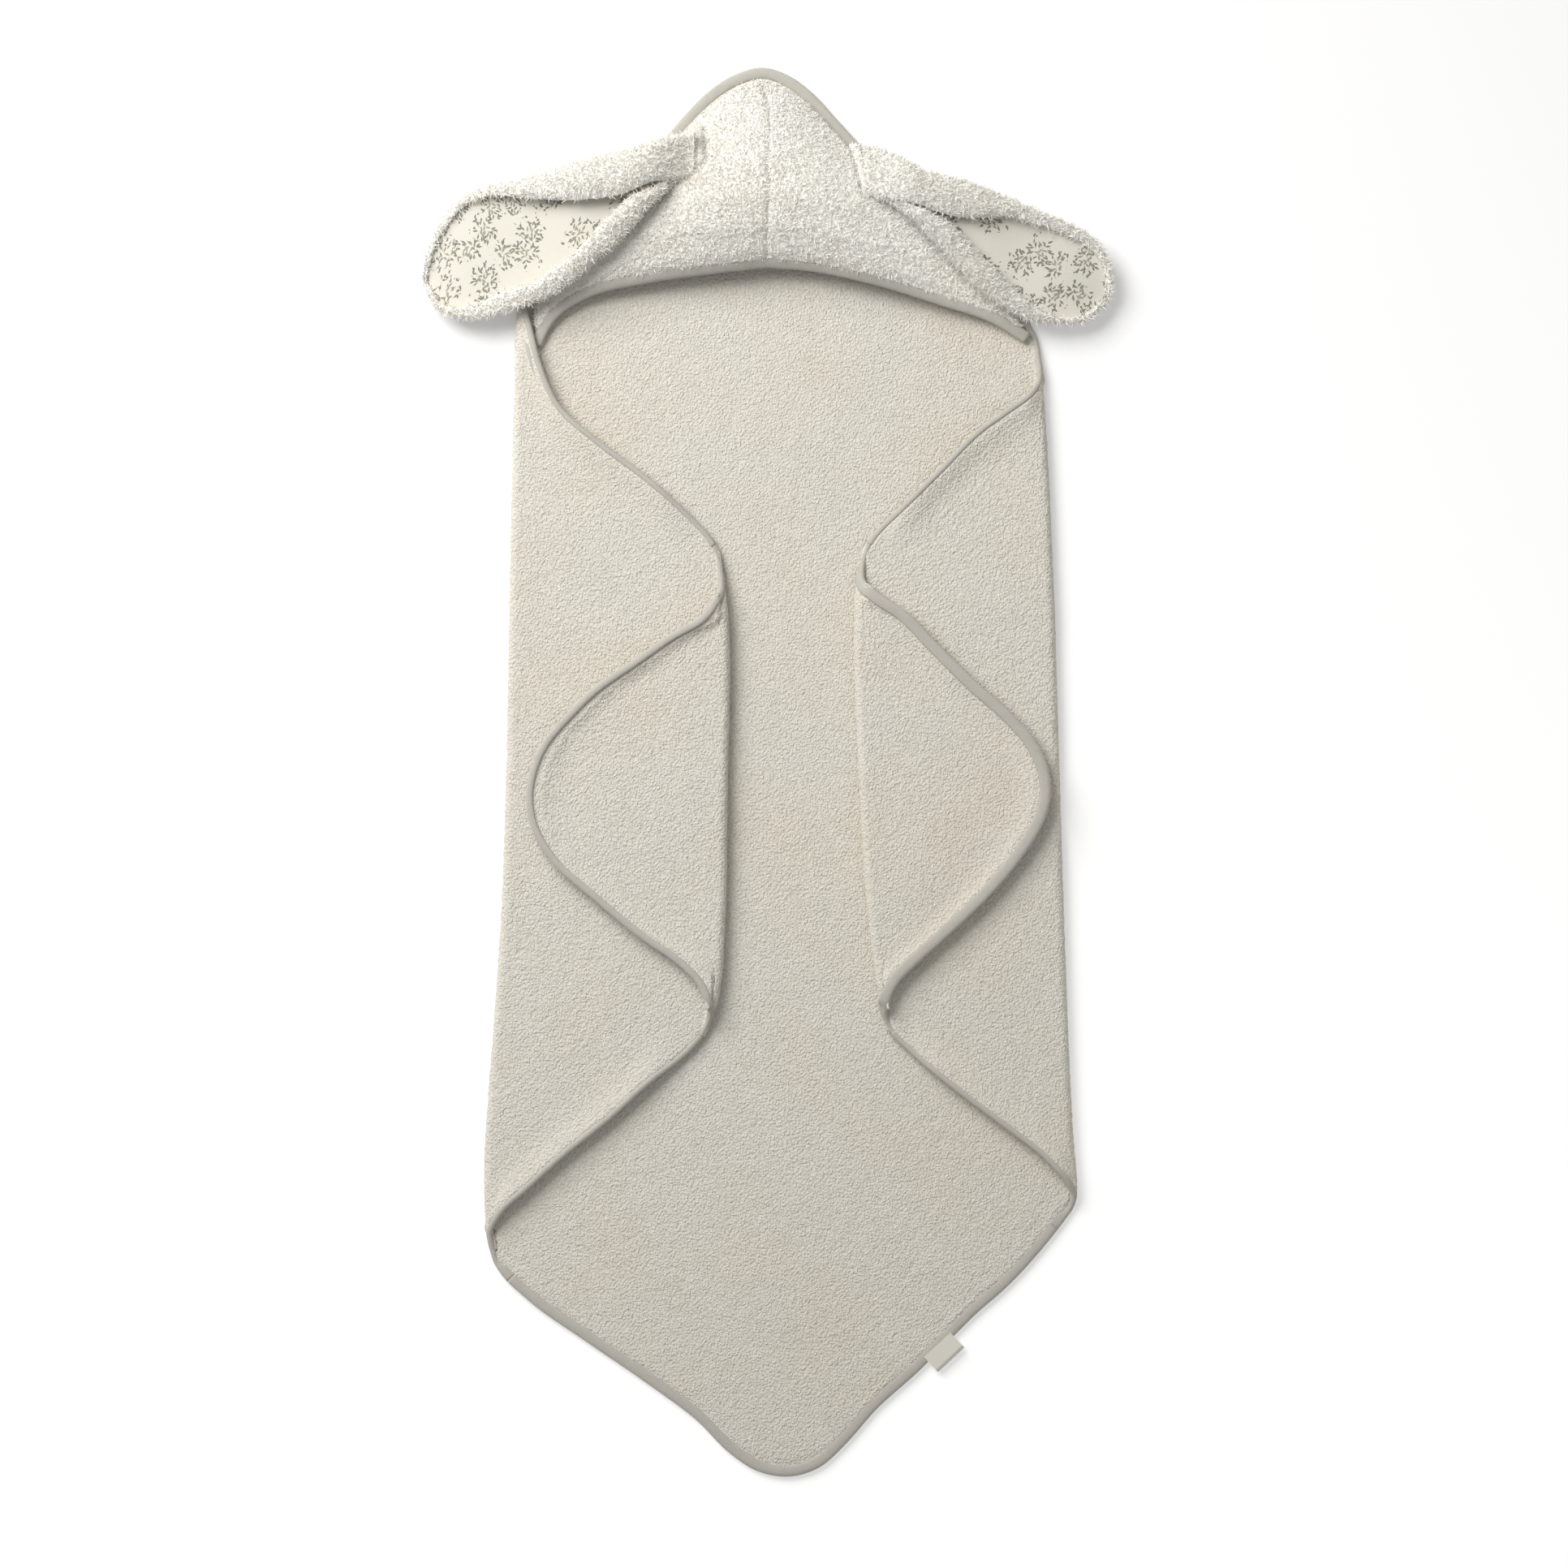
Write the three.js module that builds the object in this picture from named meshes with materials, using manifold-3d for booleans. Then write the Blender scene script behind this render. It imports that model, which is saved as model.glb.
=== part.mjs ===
// Hooded baby towel: a square of terry laid out as a diamond, its two side corners folded in and
// back out again in a Z, with a hood sewn over the top corner and two floppy ears on the hood.
// Millimetres. +Y points at the hood's point, +Z up, and the towel lies on Z = 0.
import * as THREE from 'three';
import { LoftGeometry } from 'three/addons/geometries/LoftGeometry.js';
import { mergeVertices } from 'three/addons/utils/BufferGeometryUtils.js';
import Module from 'manifold-3d';

const wasm = await Module();
wasm.setup();

// ---------------------------------------------------------------- driving dimensions

const TOWEL_SIDE = 800; // the square, from sharp corner to sharp corner
const HALF_DIAGONAL = TOWEL_SIDE * Math.SQRT1_2;
const APEX_LEAN = -12.6; // how far the hood's point lies off the towel's centre line
const FOOT_LEAN = 8.8; // and the opposite corner
const APEX_RADIUS = 50;
const FOOT_RADIUS = 42;

const CLOTH = 4.6; // terry, pile on both faces
const HEM = 2.4; // terry with its pile pressed flat under the binding
const LAYER_GAP = 2.4; // air between two folded layers
const FOLD_CLEARANCE = 1; // a layer stops this far short of its fold line
const FIT = 0.3; // gap between sewn pieces

const BINDING_WIDTH = 8.5;
const BINDING_TAPE = 0.8;

const FOLD_WIDTH = 217; // centre line to an outer fold, half way down
const FOLD_SLANT = 0.038; // the folded towel widens towards its foot

const EDGE_AT_FOLD = HALF_DIAGONAL - FOLD_WIDTH; // height where a straight edge meets its fold
const belowPoint = (drop) => HALF_DIAGONAL - drop;

// How each side corner is folded, with widths counted outwards from the centre line.
const SIDES = {
  left: {
    out: -1,
    foldTop: EDGE_AT_FOLD + 19.3,
    foldBottom: -EDGE_AT_FOLD - 19.3,
    shoulder: 21, // the wing's edge hangs this far inside the fold before it slants away
    shoulderDrop: 68,
    innerFold: 40.5,
    innerSlant: 0.0155,
    innerTopDrop: 212, // down the wing from its top corner to its inner fold
    innerBottomRise: 182, // and up from its bottom corner
    tipReach: 201.5, // inner fold to the tip's sharp corner
    tipHeight: -15.5,
    tipRadius: 74,
    hoodCornerInset: 23, // the hood's front corner, inside the outer fold
    hoodCornerDrop: 30, // and below the fold's top
  },
  right: {
    out: 1,
    foldTop: EDGE_AT_FOLD - 8.7,
    foldBottom: -EDGE_AT_FOLD + 15.7,
    shoulder: 6,
    shoulderDrop: 32,
    innerFold: 62.5,
    innerSlant: 0.0388,
    innerTopDrop: 175,
    innerBottomRise: 145,
    tipReach: 175.5,
    tipHeight: -12,
    tipRadius: 69,
    hoodCornerInset: 32,
    hoodCornerDrop: -3,
  },
};

const HOOD_CLOTH = 4.2;
const HOOD_HEM = 1.6; // the same cloth pressed flat under its front binding
const FRONT_BINDING_HEIGHT = 6; // the tape stands open a little round the hood's raised edge
const HOOD_SEAM_LEAN = -9; // the hood's centre seam, off the towel's centre line
const HOOD_SEAM_WIDTH = 2.4;
const HOOD_FRONT = belowPoint(176.7); // the front edge's highest point
const HOOD_FRONT_BOW = 15; // how far the front edge arches above the straight line to its corners
const HOOD_RISE = [0, 20, 34, 40, 40, 36, 29, 20]; // inner height from the point to the front edge
const HOOD_TURN = 18; // its side edges leave the towel's edge this far above its front corners
const HOOD_ROOT = 10; // the hood starts this far either side of its seam, at the point

const EAR_CLOTH = 4.4;
const EAR_LINING = 1.2;
const EAR_ROOT_WIDTH = 42;
const EAR_WIDTH = 94;
const EAR_WIDEST = 0.68; // share of the length where an ear is widest
const EAR_TIP_GAP = 0.2; // the ear's tip, above the towel's surface
const EAR_CURL = 7; // how far the long edges curl up
const EAR_HEM = 7; // the lining stops this far inside the ear's edge
const EAR_LINING_GAP = 0.9; // between the ear's terry and its lining
// Root and tip of each ear's centre line, outwards from the towel's centre line, and the gap
// between the hood and the ear's lower edge at its root.
const EARS = {
  left: {
    side: SIDES.left,
    root: [67, belowPoint(84.7)],
    tip: [275, belowPoint(188.7)],
    bow: 6,
    rootGap: 0.9,
  },
  right: {
    side: SIDES.right,
    root: [69, belowPoint(99.7)],
    tip: [258, belowPoint(199.7)],
    bow: 8,
    rootGap: 9.65,
  },
};

const TUCK_WIDTH = 8;
const TUCK_HEIGHT = 3;
const TUCK_GAP = 1.3; // above the hood and beside the ear

const LABEL_WIDTH = 28;
const LABEL_REACH = 16;
const LABEL_CLOTH = 0.8;
const LABEL_PLACE = 0.47; // share of the lower right edge, from the foot to the fold

// ---------------------------------------------------------------- materials

const terry = new THREE.MeshStandardMaterial({ color: 0xe8e2d6, roughness: 1, metalness: 0 });
const hoodTerry = new THREE.MeshStandardMaterial({ color: 0xeae6dd, roughness: 1, metalness: 0 });
const binding = new THREE.MeshStandardMaterial({ color: 0xc8c3b8, roughness: 0.85, metalness: 0 });
const lining = new THREE.MeshStandardMaterial({ color: 0xf0e9da, roughness: 0.8, metalness: 0 });
const label = new THREE.MeshStandardMaterial({ color: 0xe9e3d5, roughness: 0.7, metalness: 0 });

const towel = new THREE.Group();

function addPart(name, geometry, material) {
  const part = new THREE.Mesh(geometry, material);
  part.name = name;
  towel.add(part);
}

// ---------------------------------------------------------------- solids

function solidOf(geometry) {
  const bare = geometry.index ? geometry.toNonIndexed() : geometry.clone();
  bare.deleteAttribute('normal');
  bare.deleteAttribute('uv');
  const merged = mergeVertices(bare, 1e-3);
  const triVerts = new Uint32Array(merged.index.array);
  const vertProperties = merged.attributes.position.array;
  return new wasm.Manifold(new wasm.Mesh({ numProp: 3, vertProperties, triVerts }));
}

function geometryOf(solid) {
  const mesh = solid.getMesh();
  const geometry = new THREE.BufferGeometry();
  geometry.setAttribute('position', new THREE.BufferAttribute(mesh.vertProperties, 3));
  geometry.setIndex(new THREE.BufferAttribute(mesh.triVerts, 1));
  geometry.computeVertexNormals();
  return geometry;
}

// Turns a closed geometry's faces outwards if they point in.
function facingOut(geometry) {
  const flat = geometry.index ? geometry.toNonIndexed() : geometry;
  const points = flat.getAttribute('position');
  const [a, b, c] = [new THREE.Vector3(), new THREE.Vector3(), new THREE.Vector3()];
  let volume = 0;
  for (let i = 0; i < points.count; i += 3) {
    a.fromBufferAttribute(points, i);
    b.fromBufferAttribute(points, i + 1);
    c.fromBufferAttribute(points, i + 2);
    volume += a.dot(b.cross(c));
  }
  if (volume > 0) {
    return flat;
  }
  const turned = flat.clone();
  const target = turned.getAttribute('position');
  for (let i = 0; i < points.count; i += 3) {
    target.setXYZ(i + 1, points.getX(i + 2), points.getY(i + 2), points.getZ(i + 2));
    target.setXYZ(i + 2, points.getX(i + 1), points.getY(i + 1), points.getZ(i + 1));
  }
  turned.computeVertexNormals();
  return turned;
}

function slab(outline, bottom, thickness) {
  const shape = new THREE.Shape(outline);
  const geometry = new THREE.ExtrudeGeometry(shape, { depth: thickness, bevelEnabled: false });
  return geometry.translate(0, 0, bottom);
}

// A block whose points are moved by place(u, v, w), each from 0 to 1: w is 0 below and 1 on top.
function formed(columns, rows, place) {
  const geometry = new THREE.BoxGeometry(1, 1, 1, columns, rows, 1);
  const points = geometry.getAttribute('position');
  for (let i = 0; i < points.count; i += 1) {
    const at = place(points.getX(i) + 0.5, points.getY(i) + 0.5, points.getZ(i) + 0.5);
    points.setXYZ(i, at.x, at.y, at.z);
  }
  return facingOut(geometry);
}

// ---------------------------------------------------------------- outlines, anticlockwise

function inwards(from, to) {
  const along = to.clone().sub(from).normalize();
  return new THREE.Vector2(-along.y, along.x);
}

// The polygon with each edge, corner i to corner i + 1, moved in by its own inset.
function insetPolygon(corners, insets) {
  const count = corners.length;
  const edges = corners.map((corner, i) => {
    const next = corners[(i + 1) % count];
    const point = corner.clone().addScaledVector(inwards(corner, next), insets[i]);
    return { point, along: next.clone().sub(corner).normalize() };
  });
  return edges.map((edge, i) => {
    const before = edges[(i + count - 1) % count];
    const gap = edge.point.clone().sub(before.point);
    const reach = gap.cross(edge.along) / before.along.cross(edge.along);
    return before.point.clone().addScaledVector(before.along, reach);
  });
}

const ARC_STEPS = 8;

function isConvex(corners, i) {
  const corner = corners[i];
  const back = corner.clone().sub(corners[(i + corners.length - 1) % corners.length]);
  const ahead = corners[(i + 1) % corners.length].clone().sub(corner);
  return back.cross(ahead) > 0;
}

// The points of one corner: itself where its radius is 0, or an arc.
function cornerPoints(corners, radii, i) {
  const corner = corners[i];
  if (radii[i] <= 0) {
    return [corner.clone()];
  }
  const back = corners[(i + corners.length - 1) % corners.length].clone().sub(corner).normalize();
  const ahead = corners[(i + 1) % corners.length].clone().sub(corner).normalize();
  const half = Math.acos(back.dot(ahead)) / 2;
  const middle = back.clone().add(ahead).normalize();
  const hub = corner.clone().addScaledVector(middle, radii[i] / Math.sin(half));
  const start = corner.clone().addScaledVector(back, radii[i] / Math.tan(half)).sub(hub).angle();
  const sweep = (Math.PI - 2 * half) * (isConvex(corners, i) ? 1 : -1);
  return Array.from({ length: ARC_STEPS + 1 }, (_, k) => {
    const angle = start + (sweep * k) / ARC_STEPS;
    const spoke = new THREE.Vector2(Math.cos(angle), Math.sin(angle));
    return hub.clone().addScaledVector(spoke, radii[i]);
  });
}

function rounded(corners, radii) {
  return corners.flatMap((_, i) => cornerPoints(corners, radii, i));
}

// ---------------------------------------------------------------- the towel's folds and corners

const APEX = new THREE.Vector2(APEX_LEAN, HALF_DIAGONAL);
const FOOT = new THREE.Vector2(FOOT_LEAN, -HALF_DIAGONAL);

function outerFold(side, y) {
  return new THREE.Vector2(side.out * (FOLD_WIDTH - FOLD_SLANT * y), y);
}

function innerFold(side, y) {
  return new THREE.Vector2(side.out * (side.innerFold - side.innerSlant * y), y);
}

const LAYER_STEP = CLOTH + LAYER_GAP;
const WING_BOTTOM = LAYER_STEP;
const TIP_BOTTOM = 2 * LAYER_STEP;

// A corner list has edges that are bound with tape and edges that lie on a fold.
const centre = {
  corners: [
    outerFold(SIDES.right, SIDES.right.foldTop),
    APEX,
    outerFold(SIDES.left, SIDES.left.foldTop),
    outerFold(SIDES.left, SIDES.left.foldBottom),
    FOOT,
    outerFold(SIDES.right, SIDES.right.foldBottom),
  ],
  bound: [true, true, false, true, true, false],
  radii: [0, APEX_RADIUS, 0, 0, FOOT_RADIUS, 0],
  bottom: 0,
};

// The heights of the inner fold's two ends.
function innerEnds(side) {
  return [side.foldTop - side.innerTopDrop, side.foldBottom + side.innerBottomRise];
}

function wingOf(side) {
  const [innerTop, innerBottom] = innerEnds(side);
  const top = outerFold(side, side.foldTop);
  const shoulder = outerFold(side, side.foldTop - side.shoulderDrop);
  shoulder.x -= side.out * side.shoulder;
  const corners = [
    top,
    outerFold(side, side.foldBottom),
    innerFold(side, innerBottom),
    innerFold(side, innerTop),
    shoulder,
  ];
  const bound = [false, true, false, true, true];
  return layer(side, corners, bound, [0, 0, 0, 0, side.shoulderDrop], WING_BOTTOM);
}

function tipOf(side) {
  const [innerTop, innerBottom] = innerEnds(side);
  const corners = [
    innerFold(side, innerBottom),
    innerFold(side, innerTop),
    new THREE.Vector2(side.out * (side.innerFold + side.tipReach), side.tipHeight),
  ];
  return layer(side, corners, [false, true, true], [0, 0, side.tipRadius], TIP_BOTTOM);
}

// The corners above run anticlockwise on the left; on the right they are reversed to do so too.
function layer(side, corners, bound, radii, bottom) {
  if (side.out < 0) {
    return { corners, bound, radii, bottom };
  }
  return {
    corners: [...corners].reverse(),
    bound: [...bound.slice(0, -1).reverse(), bound.at(-1)],
    radii: [...radii].reverse(),
    bottom,
  };
}

function insetOutline(piece, inset) {
  const insets = piece.bound.map((isBound) => (isBound ? inset : FOLD_CLEARANCE));
  const radii = piece.radii.map((radius, i) => {
    const moved = isConvex(piece.corners, i) ? radius - inset : radius + inset;
    return radius > 0 ? Math.max(moved, 1) : 0;
  });
  return rounded(insetPolygon(piece.corners, insets), radii);
}

// Full pile up to the binding, and a thin hem that runs on into it.
function terryPanel(piece) {
  const pile = solidOf(slab(insetOutline(piece, BINDING_WIDTH + FIT), piece.bottom, CLOTH));
  const hemBottom = piece.bottom + (CLOTH - HEM) / 2;
  const hem = solidOf(slab(insetOutline(piece, BINDING_TAPE + FIT), hemBottom, HEM));
  return geometryOf(pile.add(hem));
}

// The tape's channel section: across from the towel's outer edge, and up from its middle.
const halfCloth = CLOTH / 2;

function channel(height) {
  const half = height / 2;
  return [
    [0, -half],
    [BINDING_WIDTH, -half],
    [BINDING_WIDTH, BINDING_TAPE - half],
    [BINDING_TAPE, BINDING_TAPE - half],
    [BINDING_TAPE, half - BINDING_TAPE],
    [BINDING_WIDTH, half - BINDING_TAPE],
    [BINDING_WIDTH, half],
    [0, half],
  ];
}

// A channel of tape along a line of points, open towards the line's left side.
function tapeAlong(line, height) {
  const section = channel(height);
  const sections = line.map((point, i) => {
    const before = line[Math.max(i - 1, 0)];
    const after = line[Math.min(i + 1, line.length - 1)];
    const flatAfter = new THREE.Vector2(after.x, after.y);
    const across = inwards(new THREE.Vector2(before.x, before.y), flatAfter);
    return section.map(
      ([reach, up]) =>
        new THREE.Vector3(point.x + across.x * reach, point.y + across.y * reach, point.z + up),
    );
  });
  return facingOut(new LoftGeometry(sections, { capStart: true, capEnd: true }));
}

// The corners of the run of bound edges that starts at corner first, in order.
function boundRun(piece, first) {
  const run = [first];
  for (let i = first; piece.bound[i % piece.bound.length]; i += 1) {
    run.push((i + 1) % piece.bound.length);
  }
  return run;
}

// The tape along a run of bound edges, cut at the fold lines.
function edgeBinding(piece, run) {
  const bends = run.slice(1, -1).flatMap((i) => cornerPoints(piece.corners, piece.radii, i));
  const points = [piece.corners[run[0]].clone(), ...bends, piece.corners[run.at(-1)].clone()];
  const overrun = 2 * BINDING_WIDTH;
  points[0].add(points[0].clone().sub(points[1]).setLength(overrun));
  points.at(-1).add(points.at(-1).clone().sub(points.at(-2)).setLength(overrun));
  const middle = piece.bottom + halfCloth;
  const tape = tapeAlong(points.map((p) => new THREE.Vector3(p.x, p.y, middle)), CLOTH);
  const insets = piece.bound.map((isBound) => (isBound ? -overrun : FOLD_CLEARANCE));
  const within = slab(insetPolygon(piece.corners, insets), piece.bottom - 1, CLOTH + 2);
  return geometryOf(solidOf(tape).intersect(solidOf(within)));
}

// Every run of bound edges on a layer, each with the height of its middle.
function bindingsOf(piece) {
  const count = piece.bound.length;
  const starts = piece.bound.flatMap((isBound, i) =>
    isBound && !piece.bound[(i + count - 1) % count] ? [i] : [],
  );
  return starts
    .map((start) => {
      const run = boundRun(piece, start);
      const height = run.reduce((sum, i) => sum + piece.corners[i].y, 0) / run.length;
      return { height, geometry: edgeBinding(piece, run) };
    })
    .sort((a, b) => b.height - a.height)
    .map(({ geometry }) => geometry);
}

// ---------------------------------------------------------------- hood

const HOOD_INSET = BINDING_WIDTH + FIT;
const HOOD_FLOOR = CLOTH + FIT + (FRONT_BINDING_HEIGHT - HOOD_CLOTH) / 2;

// The hood's edge on one side, from beside the point to the front corner.
function hoodEdge(side) {
  const outline = insetPolygon(centre.corners, centre.bound.map(() => HOOD_INSET));
  const arc = cornerPoints(outline, [0, APEX_RADIUS - HOOD_INSET, 0, 0, 0, 0], 1);
  const half = side.out < 0 ? arc.slice(ARC_STEPS / 2) : arc.slice(0, ARC_STEPS / 2 + 1).reverse();
  const end = side.out < 0 ? outline[2] : outline[0];
  const corner = outerFold(side, side.foldTop - side.hoodCornerDrop);
  corner.x -= side.out * side.hoodCornerInset;
  const straight = half.at(-1).y - end.y;
  const turn = Math.min((half.at(-1).y - corner.y - HOOD_TURN) / straight, 1);
  const points = [...half, half.at(-1).clone().lerp(end, turn), corner];
  const path = new THREE.CurvePath();
  for (let i = 1; i < points.length; i += 1) {
    path.add(new THREE.LineCurve(points[i - 1], points[i]));
  }
  return path;
}

const FRONT_HEM = 0.08; // share of the hood's length whose pile is pressed under the front binding
const FRONT_LEVEL = 1 - FRONT_HEM - 0.01; // the hood's height stays level from here to its front

const riseCurve = new THREE.SplineCurve(
  HOOD_RISE.map((rise, i) => new THREE.Vector2(i / (HOOD_RISE.length - 1), rise)),
);

// A hood half as functions of u, from the seam out to the edge, and v, from the point to the front.
function hoodHalf(side) {
  const edge = hoodEdge(side);
  const rootShare = HOOD_ROOT / edge.getLength();
  const seamX = HOOD_SEAM_LEAN + side.out * (HOOD_SEAM_WIDTH / 2 + FIT);
  const rootY = edge.getPointAt(rootShare).y;
  return {
    plan(u, v) {
      const outer = edge.getPointAt(rootShare + (1 - rootShare) * v);
      const inner = new THREE.Vector2(seamX, rootY + (HOOD_FRONT - rootY) * v);
      const point = inner.lerp(outer, u);
      point.y += 4 * HOOD_FRONT_BOW * u * (1 - u) * v * v;
      return point;
    },
    // Near the front the height follows the distance from the seam, so that the hem lies level.
    rise(u, v) {
      const reach = (this.plan(u, v).x - seamX) / (this.plan(1, 1).x - seamX);
      const share = v < FRONT_LEVEL ? u : Math.min(reach, 1);
      return riseCurve.getPoint(Math.min(v / FRONT_LEVEL, 1)).y * (1 - share * share);
    },
  };
}

const HALVINGS = 30;

// The height of a hood half under a place on it.
function riseUnder(half, x, y) {
  const shareAt = (v) => {
    const seam = half.plan(0, v).x;
    return (x - seam) / (half.plan(1, v).x - seam);
  };
  let [above, below] = [0, 1];
  for (let i = 0; i < HALVINGS; i += 1) {
    const v = (above + below) / 2;
    if (half.plan(shareAt(v), v).y > y) {
      above = v;
    } else {
      below = v;
    }
  }
  return half.rise(shareAt(below), below);
}

const HOOD_COLUMNS = 10;
const HOOD_ROWS = 12;

// The rows bunch up at the front, so that the thin hem under the binding is a clean step.
function hoodRow(v) {
  const last = 1 - FRONT_HEM;
  const row = Math.round(v * HOOD_ROWS);
  if (row >= HOOD_ROWS - 1) {
    return row === HOOD_ROWS ? 1 : last;
  }
  return (row / (HOOD_ROWS - 2)) * FRONT_LEVEL;
}

function hoodPanel(side) {
  const half = hoodHalf(side);
  return formed(HOOD_COLUMNS, HOOD_ROWS, (u, row, top) => {
    const v = hoodRow(row);
    const point = half.plan(u, v);
    const thin = v >= 1 - FRONT_HEM ? (HOOD_CLOTH - HOOD_HEM) / 2 : 0;
    const lift = top > 0.5 ? HOOD_CLOTH - thin : thin;
    return new THREE.Vector3(point.x, point.y, HOOD_FLOOR + half.rise(u, v) + lift);
  });
}

// The two halves' seam allowance, standing a little proud between them.
const SEAM_PROUD = 0.6;

function hoodSeam() {
  const half = hoodHalf(SIDES.left);
  return formed(1, HOOD_ROWS, (u, row, top) => {
    const v = row * FRONT_LEVEL;
    const x = HOOD_SEAM_LEAN + (u - 0.5) * HOOD_SEAM_WIDTH;
    const height = HOOD_FLOOR + half.rise(0, v) + (top > 0.5 ? HOOD_CLOTH + SEAM_PROUD : 0);
    return new THREE.Vector3(x, half.plan(0, v).y, height);
  });
}

// The front binding's line, in front of the hood's edge, from the right corner to the left one.
const FRONT_STEPS = 10;

function hoodFrontBinding() {
  const rightHalf = hoodHalf(SIDES.right);
  const leftHalf = hoodHalf(SIDES.left);
  const shares = Array.from({ length: FRONT_STEPS + 1 }, (_, k) => k / FRONT_STEPS);
  const edge = [
    ...shares.map((s) => [rightHalf, 1 - s]),
    ...shares.map((s) => [leftHalf, s]),
  ].map(([half, u]) => ({ plan: half.plan(u, 1), rise: half.rise(u, 1) }));
  const line = edge.map(({ plan, rise }, i) => {
    const before = edge[Math.max(i - 1, 0)].plan;
    const after = edge[Math.min(i + 1, edge.length - 1)].plan;
    const point = plan.clone().addScaledVector(inwards(before, after), BINDING_TAPE + FIT);
    return new THREE.Vector3(point.x, point.y, HOOD_FLOOR + rise + HOOD_CLOTH / 2);
  });
  return tapeAlong(line.reverse(), FRONT_BINDING_HEIGHT);
}

// ---------------------------------------------------------------- ears

const EAR_COLUMNS = 14;
const EAR_ROWS = 6;
const EAR_END = 3; // half width where the rounded end is cut off
const EAR_FALL = 1.3; // above 1, an ear leaves its root level and then drops
const EAR_TURN = 0.3; // share of the length over which the cloth turns square to its centre line

function earSurface(ear) {
  const root = new THREE.Vector2(ear.side.out * ear.root[0], ear.root[1]);
  const tip = new THREE.Vector2(ear.side.out * ear.tip[0], ear.tip[1]);
  const along = tip.clone().sub(root);
  const square = new THREE.Vector2(-along.y, along.x).normalize().multiplyScalar(ear.side.out);
  const seam = new THREE.Vector2(0, 1);
  const rootFoot = riseUnder(hoodHalf(ear.side), root.x, root.y - EAR_ROOT_WIDTH / 2);
  const rootCurl = EAR_CURL * Math.pow(EAR_ROOT_WIDTH / EAR_WIDTH, 2);
  const rootEdge = HOOD_FLOOR + rootFoot + HOOD_CLOTH + ear.rootGap;
  const rootHeight = rootEdge - rootCurl + EAR_CLOTH / 2;
  const tipHeight = CLOTH + EAR_TIP_GAP + EAR_CLOTH / 2;
  return (s, t, width, height) => {
    const across = seam.clone().lerp(square, Math.min(s / EAR_TURN, 1)).normalize();
    const swell = Math.min(s / EAR_WIDEST, 1);
    const grown = EAR_ROOT_WIDTH + (width - EAR_ROOT_WIDTH) * swell * swell * (3 - 2 * swell);
    const past = Math.max((s - EAR_WIDEST) / (1 - EAR_WIDEST), 0);
    const half = Math.max((grown / 2) * Math.sqrt(1 - past * past), EAR_END);
    const point = root.clone().addScaledVector(along, s);
    point.addScaledVector(across, half * t + ear.bow * Math.sin(Math.PI * s));
    const middle = rootHeight + (tipHeight - rootHeight) * Math.pow(s, EAR_FALL);
    const curl = EAR_CURL * Math.pow((2 * half * t) / EAR_WIDTH, 2);
    return new THREE.Vector3(point.x, point.y, middle + curl + height);
  };
}

function earBack(ear) {
  const surface = earSurface(ear);
  return formed(EAR_COLUMNS, EAR_ROWS, (s, t, top) =>
    surface(s, 2 * t - 1, EAR_WIDTH, (top - 0.5) * EAR_CLOTH),
  );
}

function earLining(ear) {
  const surface = earSurface(ear);
  const inner = 1 - (2 * EAR_HEM) / EAR_WIDTH;
  return formed(EAR_COLUMNS, EAR_ROWS, (s, t, top) => {
    const share = 0.04 + s * 0.92;
    const height = EAR_CLOTH / 2 + EAR_LINING_GAP + top * EAR_LINING;
    return surface(share, (2 * t - 1) * inner, EAR_WIDTH, height);
  });
}

// The pleat that each ear is sewn into, on top of the hood beside the ear's root: its upper and
// lower ends, above the root's middle.
const TUCK_ENDS = { left: [-0.7, -26.2], right: [3.8, -20.4] };

function earTuck(name) {
  const ear = EARS[name];
  const half = hoodHalf(ear.side);
  const inner = ear.root[0] - TUCK_WIDTH - TUCK_GAP;
  const [upper, lower] = TUCK_ENDS[name];
  return formed(2, 6, (u, row, top) => {
    const x = ear.side.out * (inner + u * TUCK_WIDTH);
    const y = ear.root[1] + upper + (lower - upper) * row;
    const bottom = HOOD_FLOOR + riseUnder(half, x, y) + HOOD_CLOTH + TUCK_GAP;
    return new THREE.Vector3(x, y, bottom + top * TUCK_HEIGHT);
  });
}

// ---------------------------------------------------------------- label

// A woven tab laid over the binding on the lower right edge, square to it.
function wovenLabel() {
  const end = centre.corners[5];
  const across = inwards(FOOT, end);
  const middle = FOOT.clone().lerp(end, LABEL_PLACE).addScaledVector(across, LABEL_REACH / 2);
  const tab = new THREE.BoxGeometry(LABEL_WIDTH, LABEL_REACH, LABEL_CLOTH);
  tab.rotateZ(across.angle() - Math.PI / 2);
  return tab.translate(middle.x, middle.y, CLOTH + FIT + LABEL_CLOTH / 2);
}

// ---------------------------------------------------------------- assembly

const [topBinding, bottomBinding] = bindingsOf(centre);
addPart('towel_centre_panel', terryPanel(centre), terry);
addPart('top_corner_binding', topBinding, binding);
addPart('bottom_corner_binding', bottomBinding, binding);
addPart('hood_left_panel', hoodPanel(SIDES.left), hoodTerry);
addPart('hood_right_panel', hoodPanel(SIDES.right), hoodTerry);
addPart('hood_centre_seam', hoodSeam(), hoodTerry);
addPart('hood_front_binding', hoodFrontBinding(), binding);
addPart('woven_label', wovenLabel(), label);

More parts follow.
